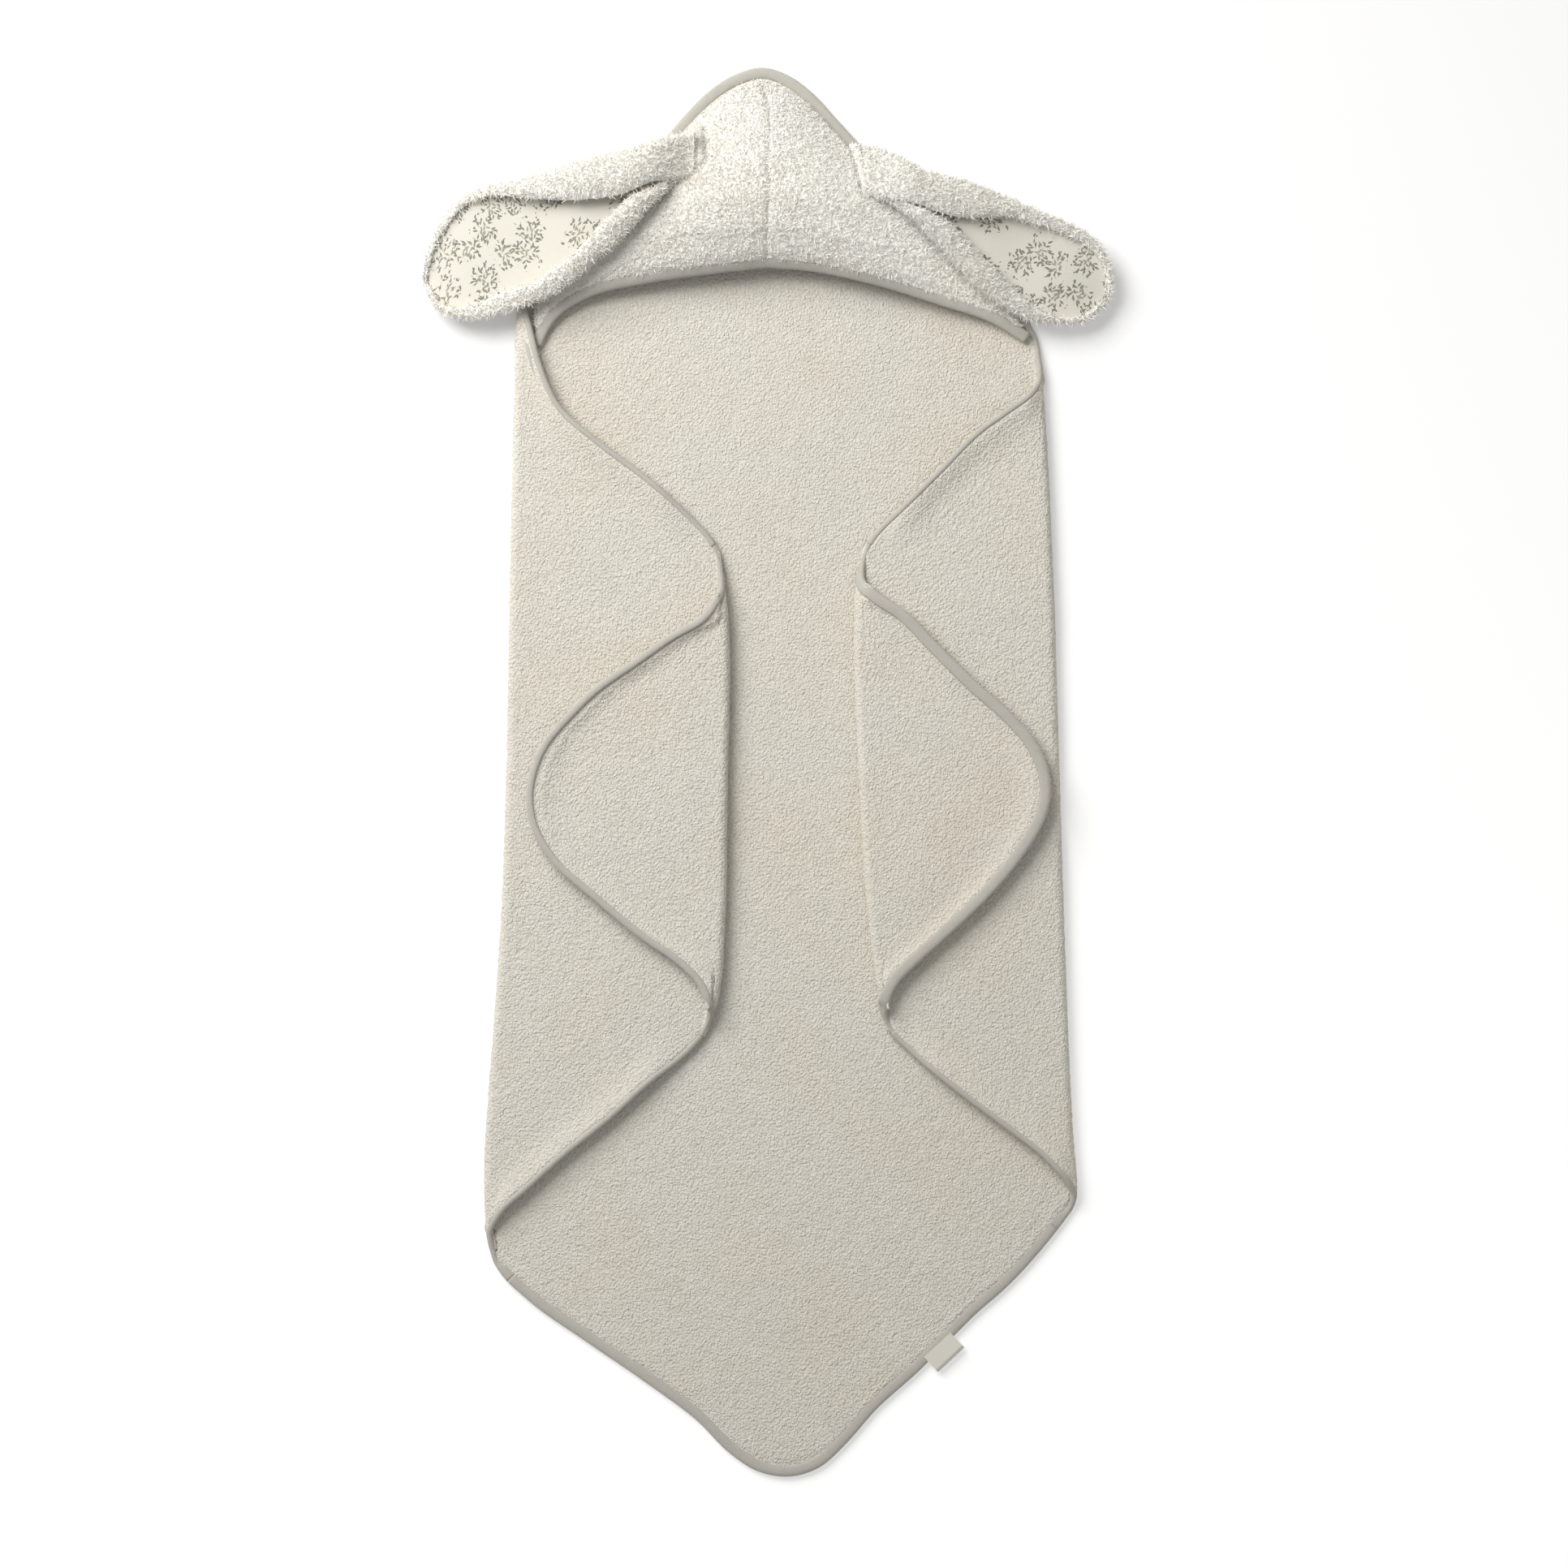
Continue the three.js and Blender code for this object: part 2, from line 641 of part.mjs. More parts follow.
for (const [name, side] of Object.entries(SIDES)) {
  const wing = wingOf(side);
  const tip = tipOf(side);
  const [upper, lower] = bindingsOf(wing);
  addPart(`${name}_wing_panel`, terryPanel(wing), terry);
  addPart(`${name}_wing_upper_binding`, upper, binding);
  addPart(`${name}_wing_lower_binding`, lower, binding);
  addPart(`${name}_tip_panel`, terryPanel(tip), terry);
  addPart(`${name}_tip_binding`, bindingsOf(tip)[0], binding);
  addPart(`${name}_ear_back`, earBack(EARS[name]), hoodTerry);
  addPart(`${name}_ear_lining`, earLining(EARS[name]), lining);
  addPart(`${name}_ear_tuck`, earTuck(name), hoodTerry);
}

// The frame's origin is the middle of the laid towel's footprint, on the surface it lies on.
towel.updateMatrixWorld(true);
const box = new THREE.Box3().setFromObject(towel);
towel.position.set(-(box.min.x + box.max.x) / 2, -(box.min.y + box.max.y) / 2, -box.min.z);

export default towel;
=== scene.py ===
# Hooded baby towel, laid out flat with both sides pleated, its hood puffed up and its ears spread.
# Lengths are millimetres in the shape code and metres once they reach Blender.
import math

import bpy
import numpy as np
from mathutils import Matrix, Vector


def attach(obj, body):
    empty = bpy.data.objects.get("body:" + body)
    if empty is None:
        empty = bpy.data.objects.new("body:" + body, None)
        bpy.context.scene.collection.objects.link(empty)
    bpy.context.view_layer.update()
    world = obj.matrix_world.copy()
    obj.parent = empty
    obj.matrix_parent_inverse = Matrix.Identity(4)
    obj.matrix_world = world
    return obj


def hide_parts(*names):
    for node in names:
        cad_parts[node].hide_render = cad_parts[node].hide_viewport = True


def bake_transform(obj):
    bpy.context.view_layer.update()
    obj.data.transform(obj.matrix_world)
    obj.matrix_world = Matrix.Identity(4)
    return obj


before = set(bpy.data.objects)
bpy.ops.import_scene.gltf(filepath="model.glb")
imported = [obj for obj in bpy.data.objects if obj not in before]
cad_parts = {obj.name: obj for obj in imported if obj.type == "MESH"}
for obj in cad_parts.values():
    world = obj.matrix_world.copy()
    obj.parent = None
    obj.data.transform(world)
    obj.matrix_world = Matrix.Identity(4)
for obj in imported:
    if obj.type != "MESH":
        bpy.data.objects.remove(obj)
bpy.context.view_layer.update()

MM = 0.001

# ------------------------------------------------------------------ objects and shader nodes


def add_to_scene(name, data):
    made = bpy.data.objects.new(name, data)
    bpy.context.scene.collection.objects.link(made)
    return made


def new_material(name, specular=0.12, **values):
    """A material with its tree and surface; values are the surface's Base_Color and so on."""
    material = bpy.data.materials.new(name)
    material.use_nodes = True
    surface = material.node_tree.nodes["Principled BSDF"]
    surface.inputs["Specular IOR Level"].default_value = specular
    for key, value in values.items():
        surface.inputs[key.replace("_", " ")].default_value = value
    return material, material.node_tree, surface


def link(tree, a, b):
    tree.links.new(a, b)


def node(tree, kind, **values):
    """A node with these inputs and settings; an input given a socket is linked to it."""
    made = tree.nodes.new(kind)
    for key, value in values.items():
        if key not in made.inputs:
            setattr(made, key, value)
        elif isinstance(value, bpy.types.NodeSocket):
            link(tree, value, made.inputs[key])
        else:
            made.inputs[key].default_value = value
    return made


def fill_inputs(tree, made, values):
    for socket, value in zip(made.inputs, values):
        if isinstance(value, bpy.types.NodeSocket):
            link(tree, value, socket)
        else:
            socket.default_value = value


def sums(tree, operation, *values):
    """A Math node over sockets and numbers."""
    made = node(tree, "ShaderNodeMath", operation=operation)
    fill_inputs(tree, made, values)
    return made.outputs[0]


def vectors(tree, operation, *values):
    """A Vector Math node over sockets and triples."""
    made = node(tree, "ShaderNodeVectorMath", operation=operation)
    fill_inputs(tree, made, values)
    return made.outputs["Value" if operation in ("LENGTH", "DOT_PRODUCT") else 0]


def parts_of(tree, vector):
    """The three parts of a vector."""
    return node(tree, "ShaderNodeSeparateXYZ", Vector=vector).outputs


def object_point(tree, stretch=(1, 1, 1)):
    point = node(tree, "ShaderNodeTexCoord").outputs["Object"]
    return node(tree, "ShaderNodeMapping", Vector=point, Scale=stretch).outputs["Vector"]


def noise(tree, vector, scale, detail=3):
    values = {"Vector": vector, "Scale": scale, "Detail": detail, "Roughness": 0.55}
    return node(tree, "ShaderNodeTexNoise", **values).outputs["Fac"]


def ramp_node(tree, factor, stops):
    made = node(tree, "ShaderNodeValToRGB", Fac=factor)
    elements = made.color_ramp.elements
    for element, (at, colour) in zip(elements, stops):
        element.position = at
        element.color = (*colour, 1)
    return made.outputs["Color"]


def blend_colour(tree, factor, a, b, mode="MIX"):
    made = node(tree, "ShaderNodeMix", data_type="RGBA", blend_type=mode)
    for socket, value in zip((made.inputs[0], *made.inputs[6:8]), (factor, a, b)):
        if isinstance(value, bpy.types.NodeSocket):
            link(tree, value, socket)
        else:
            socket.default_value = value
    return made.outputs[2]


def tinted(tree, surface, colour, factor, stops):
    """Gives the surface this colour, multiplied by a ramp over the factor."""
    tint = ramp_node(tree, factor, stops)
    link(tree, blend_colour(tree, 1.0, colour, tint, "MULTIPLY"), surface.inputs["Base Color"])


def raise_surface(tree, surface, height, strength, depth):
    bump = node(tree, "ShaderNodeBump", Strength=strength, Distance=depth, Height=height)
    link(tree, bump.outputs["Normal"], surface.inputs["Normal"])


def grey(value):
    return (value, value, value)


# ------------------------------------------------------------------ camera, light and floor

CAMERA_AT = (0.012, -0.0064, 3.051)
CAMERA_LENS = 90
SENSOR = 36
FLOOR_REACH = 8
FLOOR_DROP = 0.0006
# Painted light: the floor glows, its emission rising towards the side that faces away from the key
# lamp, where that lamp's light falls off.
GLOW_SLOPE = (0.45, -0.75, 0)
GLOW_SHIFT = 0.35
GLOW = (0.12, 0.42)


def add_camera():
    data = bpy.data.cameras.new("camera")
    data.lens = CAMERA_LENS
    data.sensor_width = SENSOR
    data.clip_start = 0.1
    data.clip_end = 20
    camera = add_to_scene("camera", data)
    camera.location = CAMERA_AT
    camera.rotation_euler = (0, 0, 0)
    bpy.context.scene.camera = camera


def add_area(name, at, size, watts, colour):
    """A square lamp that looks at the middle of the towel."""
    data = bpy.data.lights.new(name, "AREA")
    data.shape = "SQUARE"
    data.size = size
    data.energy = watts
    data.color = colour
    lamp = add_to_scene(name, data)
    lamp.location = at
    lamp.rotation_mode = "QUATERNION"
    lamp.rotation_quaternion = (-Vector(at)).to_track_quat("-Z", "Y")


def add_world(strength):
    world = bpy.data.worlds.new("studio")
    world.use_nodes = True
    background = world.node_tree.nodes["Background"]
    background.inputs["Color"].default_value = (1.0, 1.0, 1.0, 1)
    background.inputs["Strength"].default_value = strength
    bpy.context.scene.world = world


def add_floor():
    mesh = bpy.data.meshes.new("floor")
    r = FLOOR_REACH
    mesh.from_pydata([(-r, -r, 0), (r, -r, 0), (r, r, 0), (-r, r, 0)], [], [(0, 1, 2, 3)])
    floor = add_to_scene("floor", mesh)
    floor.location.z = -FLOOR_DROP
    values = {"Base_Color": (0.93, 0.93, 0.93, 1), "Roughness": 0.9, "Emission_Strength": 1.0}
    material, tree, surface = new_material("studio_floor", 0.0, **values)
    place = node(tree, "ShaderNodeTexCoord").outputs["Object"]
    # painted glow: emission grows along this slope, away from the key lamp
    slope = sums(tree, "ADD", vectors(tree, "DOT_PRODUCT", place, GLOW_SLOPE), GLOW_SHIFT)
    glow = ramp_node(tree, slope, [(0, grey(GLOW[0])), (1, grey(GLOW[1]))])
    link(tree, glow, surface.inputs["Emission Color"])
    mesh.materials.append(material)


add_camera()
add_world(0.29)
add_area("key", (-1.25, 1.5, 1.65), 1.7, 66, (1.0, 0.992, 0.978))
add_area("fill", (1.6, -1.8, 3.2), 3.0, 10, (0.96, 0.98, 1.0))
add_floor()
bpy.context.scene.view_settings.view_transform = "Standard"

# ------------------------------------------------------------------ sizes

CLOTH = 4.6
LAYER_STEP = 7.0
TAPE_WIDTH = 8.5
FOLD_ROUND = LAYER_STEP / 2 + CLOTH / 2  # a fold's outside, from the middle of its turn
CUT = 14  # the middle layer is joined to the folded sides this far inside the outer fold
HIDDEN_CUT = 12  # and each side to its tip this far inside the inner fold
ROWS = 340
TIP_ROWS = 170

WING_LIFT = 4.5
TIP_LIFT = 5.0
TOWEL_RELIEF = 0.16

LEVELS = [CLOTH / 2, CLOTH / 2 + LAYER_STEP, CLOTH / 2 + 2 * LAYER_STEP]

# The outer edge of the tape, one layer at a time, as (across, up the towel).
TOP_EDGE = [
    (-195.5, 384), (-160, 418), (-120, 457), (-80.2, 496.3), (-62, 517), (-46, 532.5), (-26, 545),
    (-4.4, 550.5), (16, 544), (33.5, 531), (52, 511), (71.3, 490), (130, 432), (176, 386),
    (196, 366), (205.5, 346), (211.8, 322),
]
BOTTOM_EDGE = [
    (-217, -366), (-215.5, -374), (-209.7, -384.8), (-187.6, -406.9), (-143.4, -438.5),
    (-92.9, -473.2), (-55, -501.6), (-29.7, -526.9), (-7.6, -540.8), (17.7, -544.6), (39.8, -537.4),
    (58.7, -520.6), (84, -492.1), (115.6, -463.7), (144, -435.3), (159.8, -419.5), (185, -397.4),
    (216.6, -362.7), (238.6, -334),
]
LEFT = {
    "out": -1,
    "outer": [
        (-195.5, 384), (-197, 332), (-201.5, 130), (-204, 0), (-208, -110), (-213, -186),
        (-218, -250), (-221, -312), (-220, -345), (-217, -366),
    ],
    "inner": [
        (-35, 152), (-31.5, 130), (-30, 100), (-31.5, 0), (-33.8, -120), (-36.5, -160),
        (-40, -178), (-45, -190),
    ],
    "wing_upper": [
        (-195.5, 384), (-190.5, 369), (-184.5, 351), (-176.2, 319.4), (-162.3, 287.9),
        (-130.8, 259.5), (-92.9, 231), (-61.3, 202.6), (-44, 184), (-37, 170), (-35, 152),
    ],
    "wing_lower": [
        (-217, -366), (-215, -354.5), (-207.8, -340.6), (-187.6, -321.6), (-156, -293.2),
        (-124.4, -267.9), (-92.9, -239.5), (-61.3, -214.2), (-50.5, -202), (-45, -190),
    ],
    "tip": [
        (-41, 141), (-48.7, 126), (-73.9, 111), (-105.5, 88.9), (-137.1, 66.8), (-156, 47.9),
        (-175, 25.8), (-184.5, 3.7), (-187.6, -18.4), (-184.5, -37.4), (-168.7, -65.8),
        (-137.1, -94.2), (-99.2, -125.8), (-67.6, -147.9), (-53, -163.7), (-47.5, -180),
    ],
}
RIGHT = {
    "out": 1,
    "outer": [
        (211.8, 322), (213.5, 300.5), (221, 161.6), (226.1, 3.7), (230.5, -135.3),
        (236.8, -280.5), (239.6, -322), (238.6, -334),
    ],
    "inner": [
        (70.5, 158), (67, 140), (66.3, 120), (68.2, 35.2), (71.3, -27.9), (75.1, -91.1),
        (80.8, -141.6), (85, -170), (88.5, -188),
    ],
    "wing_upper": [
        (211.8, 322), (209.8, 309), (203, 298.5), (185, 284.7), (162.9, 268.9), (134.5, 240.5),
        (102.9, 208.9), (80.8, 186.8), (73.2, 174), (70.5, 158),
    ],
    "wing_lower": [
        (238.6, -334), (232.4, -318.4), (216.6, -299.5), (185, -274.2), (147.1, -245.8),
        (109.2, -214.2), (94.5, -200), (88.5, -188),
    ],
    "tip": [
        (76.5, 149), (87.1, 139.5), (102.9, 130), (128.2, 104.7), (159.8, 73.1), (188.2, 47.9),
        (207.1, 25.8), (216.6, 3.7), (218.5, -12.1), (213.5, -34.2), (200.8, -56.3),
        (178.7, -84.8), (147.1, -116.3), (115.6, -144.8), (98, -163), (91, -180),
    ],
}

# ------------------------------------------------------------------ curves and surfaces


def length_along(points):
    """Distance along a line of points, or down each column of a grid of them."""
    steps = np.linalg.norm(np.diff(points, axis=0), axis=-1)
    return np.concatenate([np.zeros((1, *steps.shape[1:])), np.cumsum(steps, axis=0)])


def soften_lines(lines, times):
    """Smooths each line in place, with its two ends held."""
    for _ in range(times):
        for line in lines:
            line[1:-1] = (line[:-2] + 2 * line[1:-1] + line[2:]) / 4


def curve(points, count=500):
    """A smooth curve through the points, evenly spaced."""
    p = np.array(points, float)
    reach = length_along(p)
    tangent = np.gradient(p, reach, axis=0)
    t = np.linspace(0, reach[-1], count)
    i = np.clip(np.searchsorted(reach, t, side="right") - 1, 0, len(reach) - 2)
    step = (reach[i + 1] - reach[i])[:, None]
    s = ((t - reach[i])[:, None]) / step
    return (
        p[i] * (1 + 2 * s) * (1 - s) ** 2
        + tangent[i] * step * s * (1 - s) ** 2
        + p[i + 1] * s * s * (3 - 2 * s)
        + tangent[i + 1] * step * s * s * (s - 1)
    )


def ramp(start, end, x):
    t = np.clip((x - start) / (end - start), 0, 1)
    return t * t * (3 - 2 * t)


def hill(far, width):
    """A smooth bump of height 1 with about this half width."""
    return np.exp(-((far / width) ** 2))


def across_at(points):
    """x along a line of points as a function of y, straight on beyond its ends."""
    c = curve(points)
    order = np.argsort(c[:, 1])
    ys, xs = c[order, 1], c[order, 0]
    return lambda y: np.interp(y, ys, xs)


def height_at(share, ys):
    order = np.argsort(share)
    return lambda c: np.interp(c, share[order], ys[order])


def waves(x, y, length, seed, count=6):
    """Smooth low hills about this long, from -1 to 1."""
    rng = np.random.default_rng(seed)
    total = np.zeros(np.broadcast(x, y).shape)
    for _ in range(count):
        turn = rng.uniform(0, 2 * math.pi)
        k = 2 * math.pi / (length * rng.uniform(0.7, 1.5))
        shift = rng.uniform(0, 2 * math.pi)
        total += np.sin(k * (x * math.cos(turn) + y * math.sin(turn)) + shift)
    return total / count


def unit(v):
    return v / np.maximum(np.linalg.norm(v, axis=-1, keepdims=True), 1e-9)


def normals(mid):
    return unit(np.cross(np.gradient(mid, axis=0), np.gradient(mid, axis=1)))


def make_piece(name, points, quads, sharp):
    mesh = bpy.data.meshes.new(name)
    mesh.vertices.add(len(points))
    mesh.vertices.foreach_set("co", (points * MM).astype(np.float32).ravel())
    mesh.loops.add(len(quads) * 4)
    mesh.loops.foreach_set("vertex_index", quads.astype(np.int32).ravel())
    mesh.polygons.add(len(quads))
    mesh.polygons.foreach_set("loop_start", np.arange(0, len(quads) * 4, 4, dtype=np.int32))
    mesh.update(calc_edges=True)
    mesh.polygons.foreach_set("use_smooth", np.ones(len(quads), bool))
    ends = np.zeros(len(mesh.edges) * 2, np.int32)
    mesh.edges.foreach_get("vertices", ends)
    mark = mesh.attributes.new("sharp_edge", "BOOLEAN", "EDGE")
    mark.data.foreach_set("value", sharp[ends.reshape(-1, 2)].all(axis=1))
    mesh.validate()
    return add_to_scene(name, mesh)


def shell(name, mid, face, back, relief=0.0, seed=0, fade=None, pile_on=0):
    """Closed cloth about a middle surface: its thickness on the face and on the back, how rough
    it is where it isn't faded, and which side its loose pile stands on (1 face, -1 back)."""
    rng = np.random.default_rng(seed)
    a, b = mid.shape[:2]
    n = normals(mid)
    fade = np.ones((a, b)) if fade is None else fade
    over = mid + n * (face + relief * fade * rng.normal(0, 1, (a, b)))[..., None]
    under = mid - n * (back + relief * fade * rng.normal(0, 1, (a, b)))[..., None]
    at = np.arange(a * b).reshape(a, b)
    quad = np.stack([at[:-1, :-1], at[1:, :-1], at[1:, 1:], at[:-1, 1:]], -1).reshape(-1, 4)
    rim = np.concatenate([at[:, 0], at[-1, 1:], at[-2::-1, -1], at[0, -2::-1]])
    p, q = rim[:-1], rim[1:]
    lower = a * b
    wall = np.stack([q, p, p + lower, q + lower], -1)
    quads = np.concatenate([quad, quad[:, ::-1] + lower, wall])
    sharp = np.zeros(2 * lower, bool)
    sharp[rim] = True
    sharp[rim + lower] = True
    points = np.concatenate([over.reshape(-1, 3), under.reshape(-1, 3)])
    piece = make_piece(name, points, quads, sharp)
    if pile_on:
        bare = np.zeros(lower)
        amount = (fade.ravel(), bare) if pile_on > 0 else (bare, fade.ravel())
        layer = piece.data.attributes.new("pile", "FLOAT", "POINT")
        layer.data.foreach_set("value", np.concatenate(amount).astype(np.float32))
    return piece


def round_fold(first, last, line, side, steps):
    """Rows of cloth that run round a fold, from the edge of one layer to that of the next."""
    rows = []
    for angle in np.linspace(0, math.pi, steps + 2)[1:-1]:
        w = (1 - math.cos(angle)) / 2
        turn = first * (1 - w) + last * w
        turn[:, 0] = line(turn[:, 1]) + side * (FOLD_ROUND - LAYER_STEP / 2 * math.sin(angle))
        rows.append(turn)
    return rows


# ------------------------------------------------------------------ the towel's cloth


class Side:
    """One folded side: its fold lines and the edges of its layers as functions."""

    def __init__(self, spec):
        self.out = spec["out"]
        self.outer = across_at(spec["outer"])
        self.inner = across_at(spec["inner"])
        self.fold_top = spec["outer"][0][1]
        self.fold_bottom = spec["outer"][-1][1]
        self.wing_hi = self.edge(spec["wing_upper"])
        self.wing_lo = self.edge(spec["wing_lower"])
        self.tip_top = spec["tip"][0][1]
        self.tip_bottom = spec["tip"][-1][1]
        self.tip_edge = across_at(spec["tip"])

    def edge(self, points):
        c = curve(points)
        start, end = self.outer(c[:, 1]), self.inner(c[:, 1])
        share = np.maximum.accumulate((c[:, 0] - start) / (end - start))
        return height_at(share + np.arange(len(share)) * 1e-9, c[:, 1])


def wing_point(side, c, rows):
    """Plan point of the wing at share c from the outer fold to the inner one."""
    low, high = side.wing_lo(c), side.wing_hi(c)
    y = low + (high - low) * rows
    return side.outer(y) * (1 - c) + side.inner(y) * c, y


def edge_lift(rows, length, share):
    """How far a wing's free edges stand up from the layer below, at this share across it."""
    near = hill((1 - rows) * length, 20) + hill(rows * length, 20)
    return WING_LIFT * near * ramp(0.0, 0.1, share) * (1 - ramp(0.68, 0.88, share))


def settle(x, y, z, level):
    """The layers lie a little unevenly on one another."""
    lift = 0.5 * waves(x, y, 160, 5) + 0.35 * waves(x, y, 70, 6 + level)
    return z + lift * (0.4 + 0.5 * level)


sides = {"left": Side(LEFT), "right": Side(RIGHT)}

top_curve = curve(TOP_EDGE)
bottom_curve = curve(BOTTOM_EDGE)


def centre_share(c):
    left = sides["left"].outer(c[:, 1]) + CUT
    right = sides["right"].outer(c[:, 1]) - CUT
    return (c[:, 0] - left) / (right - left)


centre_hi = height_at(centre_share(top_curve), top_curve[:, 1])
centre_lo = height_at(centre_share(bottom_curve), bottom_curve[:, 1])


def centre_point(c, rows):
    low, high = centre_lo(c), centre_hi(c)
    y = low + (high - low) * rows
    left = sides["left"].outer(y) + CUT
    right = sides["right"].outer(y) - CUT
    return left + (right - left) * c, y


def centre_surface(columns=140):
    rows = np.linspace(0, 1, ROWS)[None, :]
    c = np.linspace(0, 1, columns)[:, None]
    x, y = centre_point(c + 0 * rows, rows)
    return np.stack([x, y, settle(x, y, LEVELS[0] + 0 * x, 0)], -1)


def strip_share(side, inside):
    """Share across the middle layer of a line this far inside the outer fold."""
    width = sides["right"].outer(0) - sides["left"].outer(0) - 2 * CUT
    share = (inside - CUT) / width
    return share if side.out < 0 else 1 - share


def wing_surface(side, columns=78):
    """From the strip of middle layer beside the outer fold, round the fold, to the inner cut."""
    rows = np.linspace(0, 1, ROWS)
    parts = []
    for inside in np.linspace(CUT, FOLD_ROUND, 4):
        x, y = centre_point(np.full(ROWS, strip_share(side, inside)), rows)
        parts.append(np.stack([x, y, settle(x, y, LEVELS[0] + 0 * x, 0)], -1))
    first = parts[-1]
    keep = wing_limits(side, rows)
    start = FOLD_ROUND / (abs(side.outer(0.0) - side.inner(0.0)))
    x, y = wing_point(side, np.full(ROWS, start), rows)
    last = np.stack([x, y, settle(x, y, LEVELS[1] + 0 * x, 1)], -1)
    parts += [*round_fold(first, last, side.outer, -side.out, 7), last]
    for k in np.linspace(0, 1, columns)[1:]:
        c = start + (keep - start) * k
        x, y = wing_point(side, c, rows)
        lift = edge_lift(rows, side.wing_hi(c) - side.wing_lo(c), c)
        parts.append(np.stack([x, y, settle(x, y, LEVELS[1] + lift, 1)], -1))
    return np.stack(parts)


def wing_limits(side, rows):
    """Where the wing's cloth ends before the inner fold, row by row: hidden under the tip."""
    width = abs(side.outer(0.0) - side.inner(0.0))
    hidden = 1 - np.abs(2 * rows - 1) ** 6
    return 1 - (FOLD_ROUND + 0.5 + (HIDDEN_CUT - FOLD_ROUND) * hidden) / width


def tip_surface(side, columns=74):
    """From the sliver of wing beside the inner fold, round the fold, to the tip's edge."""
    rows = np.linspace(0, 1, TIP_ROWS)
    width = abs(side.outer(0.0) - side.inner(0.0))
    start = wing_limits(side, rows)
    end = 1 - FOLD_ROUND / width
    parts = []
    for k in np.linspace(0, 1, 4):
        x, y = wing_point(side, start + (end - start) * k, rows)
        parts.append(np.stack([x, y, settle(x, y, LEVELS[1] + 0 * x, 1)], -1))
    first = parts[-1]
    y = side.tip_bottom + (side.tip_top - side.tip_bottom) * rows
    x = side.inner(y) + side.out * FOLD_ROUND
    last = np.stack([x, y, settle(x, y, LEVELS[2] + 0 * x, 2)], -1)
    parts += [*round_fold(first, last, side.inner, side.out, 9), last]
    reach = np.maximum(side.out * (side.tip_edge(y) - side.inner(y)), FOLD_ROUND + 0.8)
    for k in np.linspace(0, 1, columns)[1:]:
        x = side.inner(y) + side.out * (FOLD_ROUND + (reach - FOLD_ROUND) * k)
        lift = TIP_LIFT * hill((reach - FOLD_ROUND) * (1 - k), 16) * ramp(0, 0.25, k)
        parts.append(np.stack([x, y, settle(x, y, LEVELS[2] + lift, 2)], -1))
    return np.stack(parts)


def edge_distance(mid, edges):
    """How far each point of a grid lies from its taped edges, along the grid."""
    far = np.full(mid.shape[:2], 1e3)
    along, across = length_along(mid.swapaxes(0, 1)).T, length_along(mid)
    if "low" in edges:
        far = np.minimum(far, along)
    if "high" in edges:
        far = np.minimum(far, along[:, -1:] - along)
    if "end" in edges:
        far = np.minimum(far, across[-1:] - across)
    return far


def towel_cloth(name, mid, edges, seed, pile_on, flip=False):
    """The towel's cloth about a grid, pressed thin where the tape holds the named edges."""
    far = edge_distance(mid, edges) * 0.75
    wide = 0.5 + 0.5 * ramp(TAPE_WIDTH - 2.2, TAPE_WIDTH + 0.8, far)
    narrow = 0.5 + 0.5 * ramp(2.2, 5.2, far)
    face, back = CLOTH / 2 * wide, CLOTH / 2 * narrow
    fade = ramp(TAPE_WIDTH - 1, TAPE_WIDTH + 2, far) if pile_on > 0 else ramp(3, 6, far)
    if flip:
        mid = mid[::-1]
        face, back, fade = face[::-1], back[::-1], fade[::-1]
    return shell(name, mid, face, back, TOWEL_RELIEF, seed, fade, pile_on)


# ------------------------------------------------------------------ the tape

# Across the tape, as (inwards from the cloth's edge, out from the middle of the cloth): it is
# wide on the towel's face and narrow on its back.
TAPE_SECTION = [
    (8.5, 0.9), (8.3, 1.7), (7.4, 2.15), (5.4, 2.5), (3.0, 2.6), (1.2, 2.35), (0.2, 1.7),
    (-0.3, 0.8), (-0.4, 0.0), (-0.3, -0.8), (0.2, -1.7), (1.2, -2.3), (2.6, -2.45), (3.8, -2.1),
    (4.2, -1.3), (4.6, -0.3), (7.6, 0.3),
]


def tidy_path(points, inwards, faces, spacing=2.2, soften=3):
    """Evenly spaced, slightly smoothed frames along an edge."""
    reach = length_along(points)
    keep = np.concatenate([[True], np.diff(reach) > 1e-6])
    reach = reach[keep]
    count = max(int(reach[-1] / spacing), 8)
    t = np.linspace(0, reach[-1], count)
    rows = [points[keep], inwards[keep], faces[keep]]
    rows = [np.stack([np.interp(t, reach, r[:, k]) for k in range(3)], -1) for r in rows]
    soften_lines(rows, soften)
    p, inward, face = rows
    along = unit(np.gradient(p, axis=0))
    face = unit(face - (face * along).sum(-1, keepdims=True) * along)
    side = np.cross(face, along)
    side *= np.sign((side * inward).sum(-1, keepdims=True))
    return p, side, face, t


def end_caps(points, at):
    """Closes a tube's two open ends, each about a point in its middle."""
    ring = at.shape[1]
    faces = []
    for row, turned in ((at[0], False), (at[-1], True)):
        hub = len(points)
        points = np.concatenate([points, points[row].mean(0)[None]])
        fans = [[hub, row[i], row[i + 1], row[(i + 2) % ring]] for i in range(0, ring - 1, 2)]
        if ring % 2:
            fans.append([hub, row[-1], row[0]])
        faces += [fan[::-1] if turned else fan for fan in fans]
    return points, faces


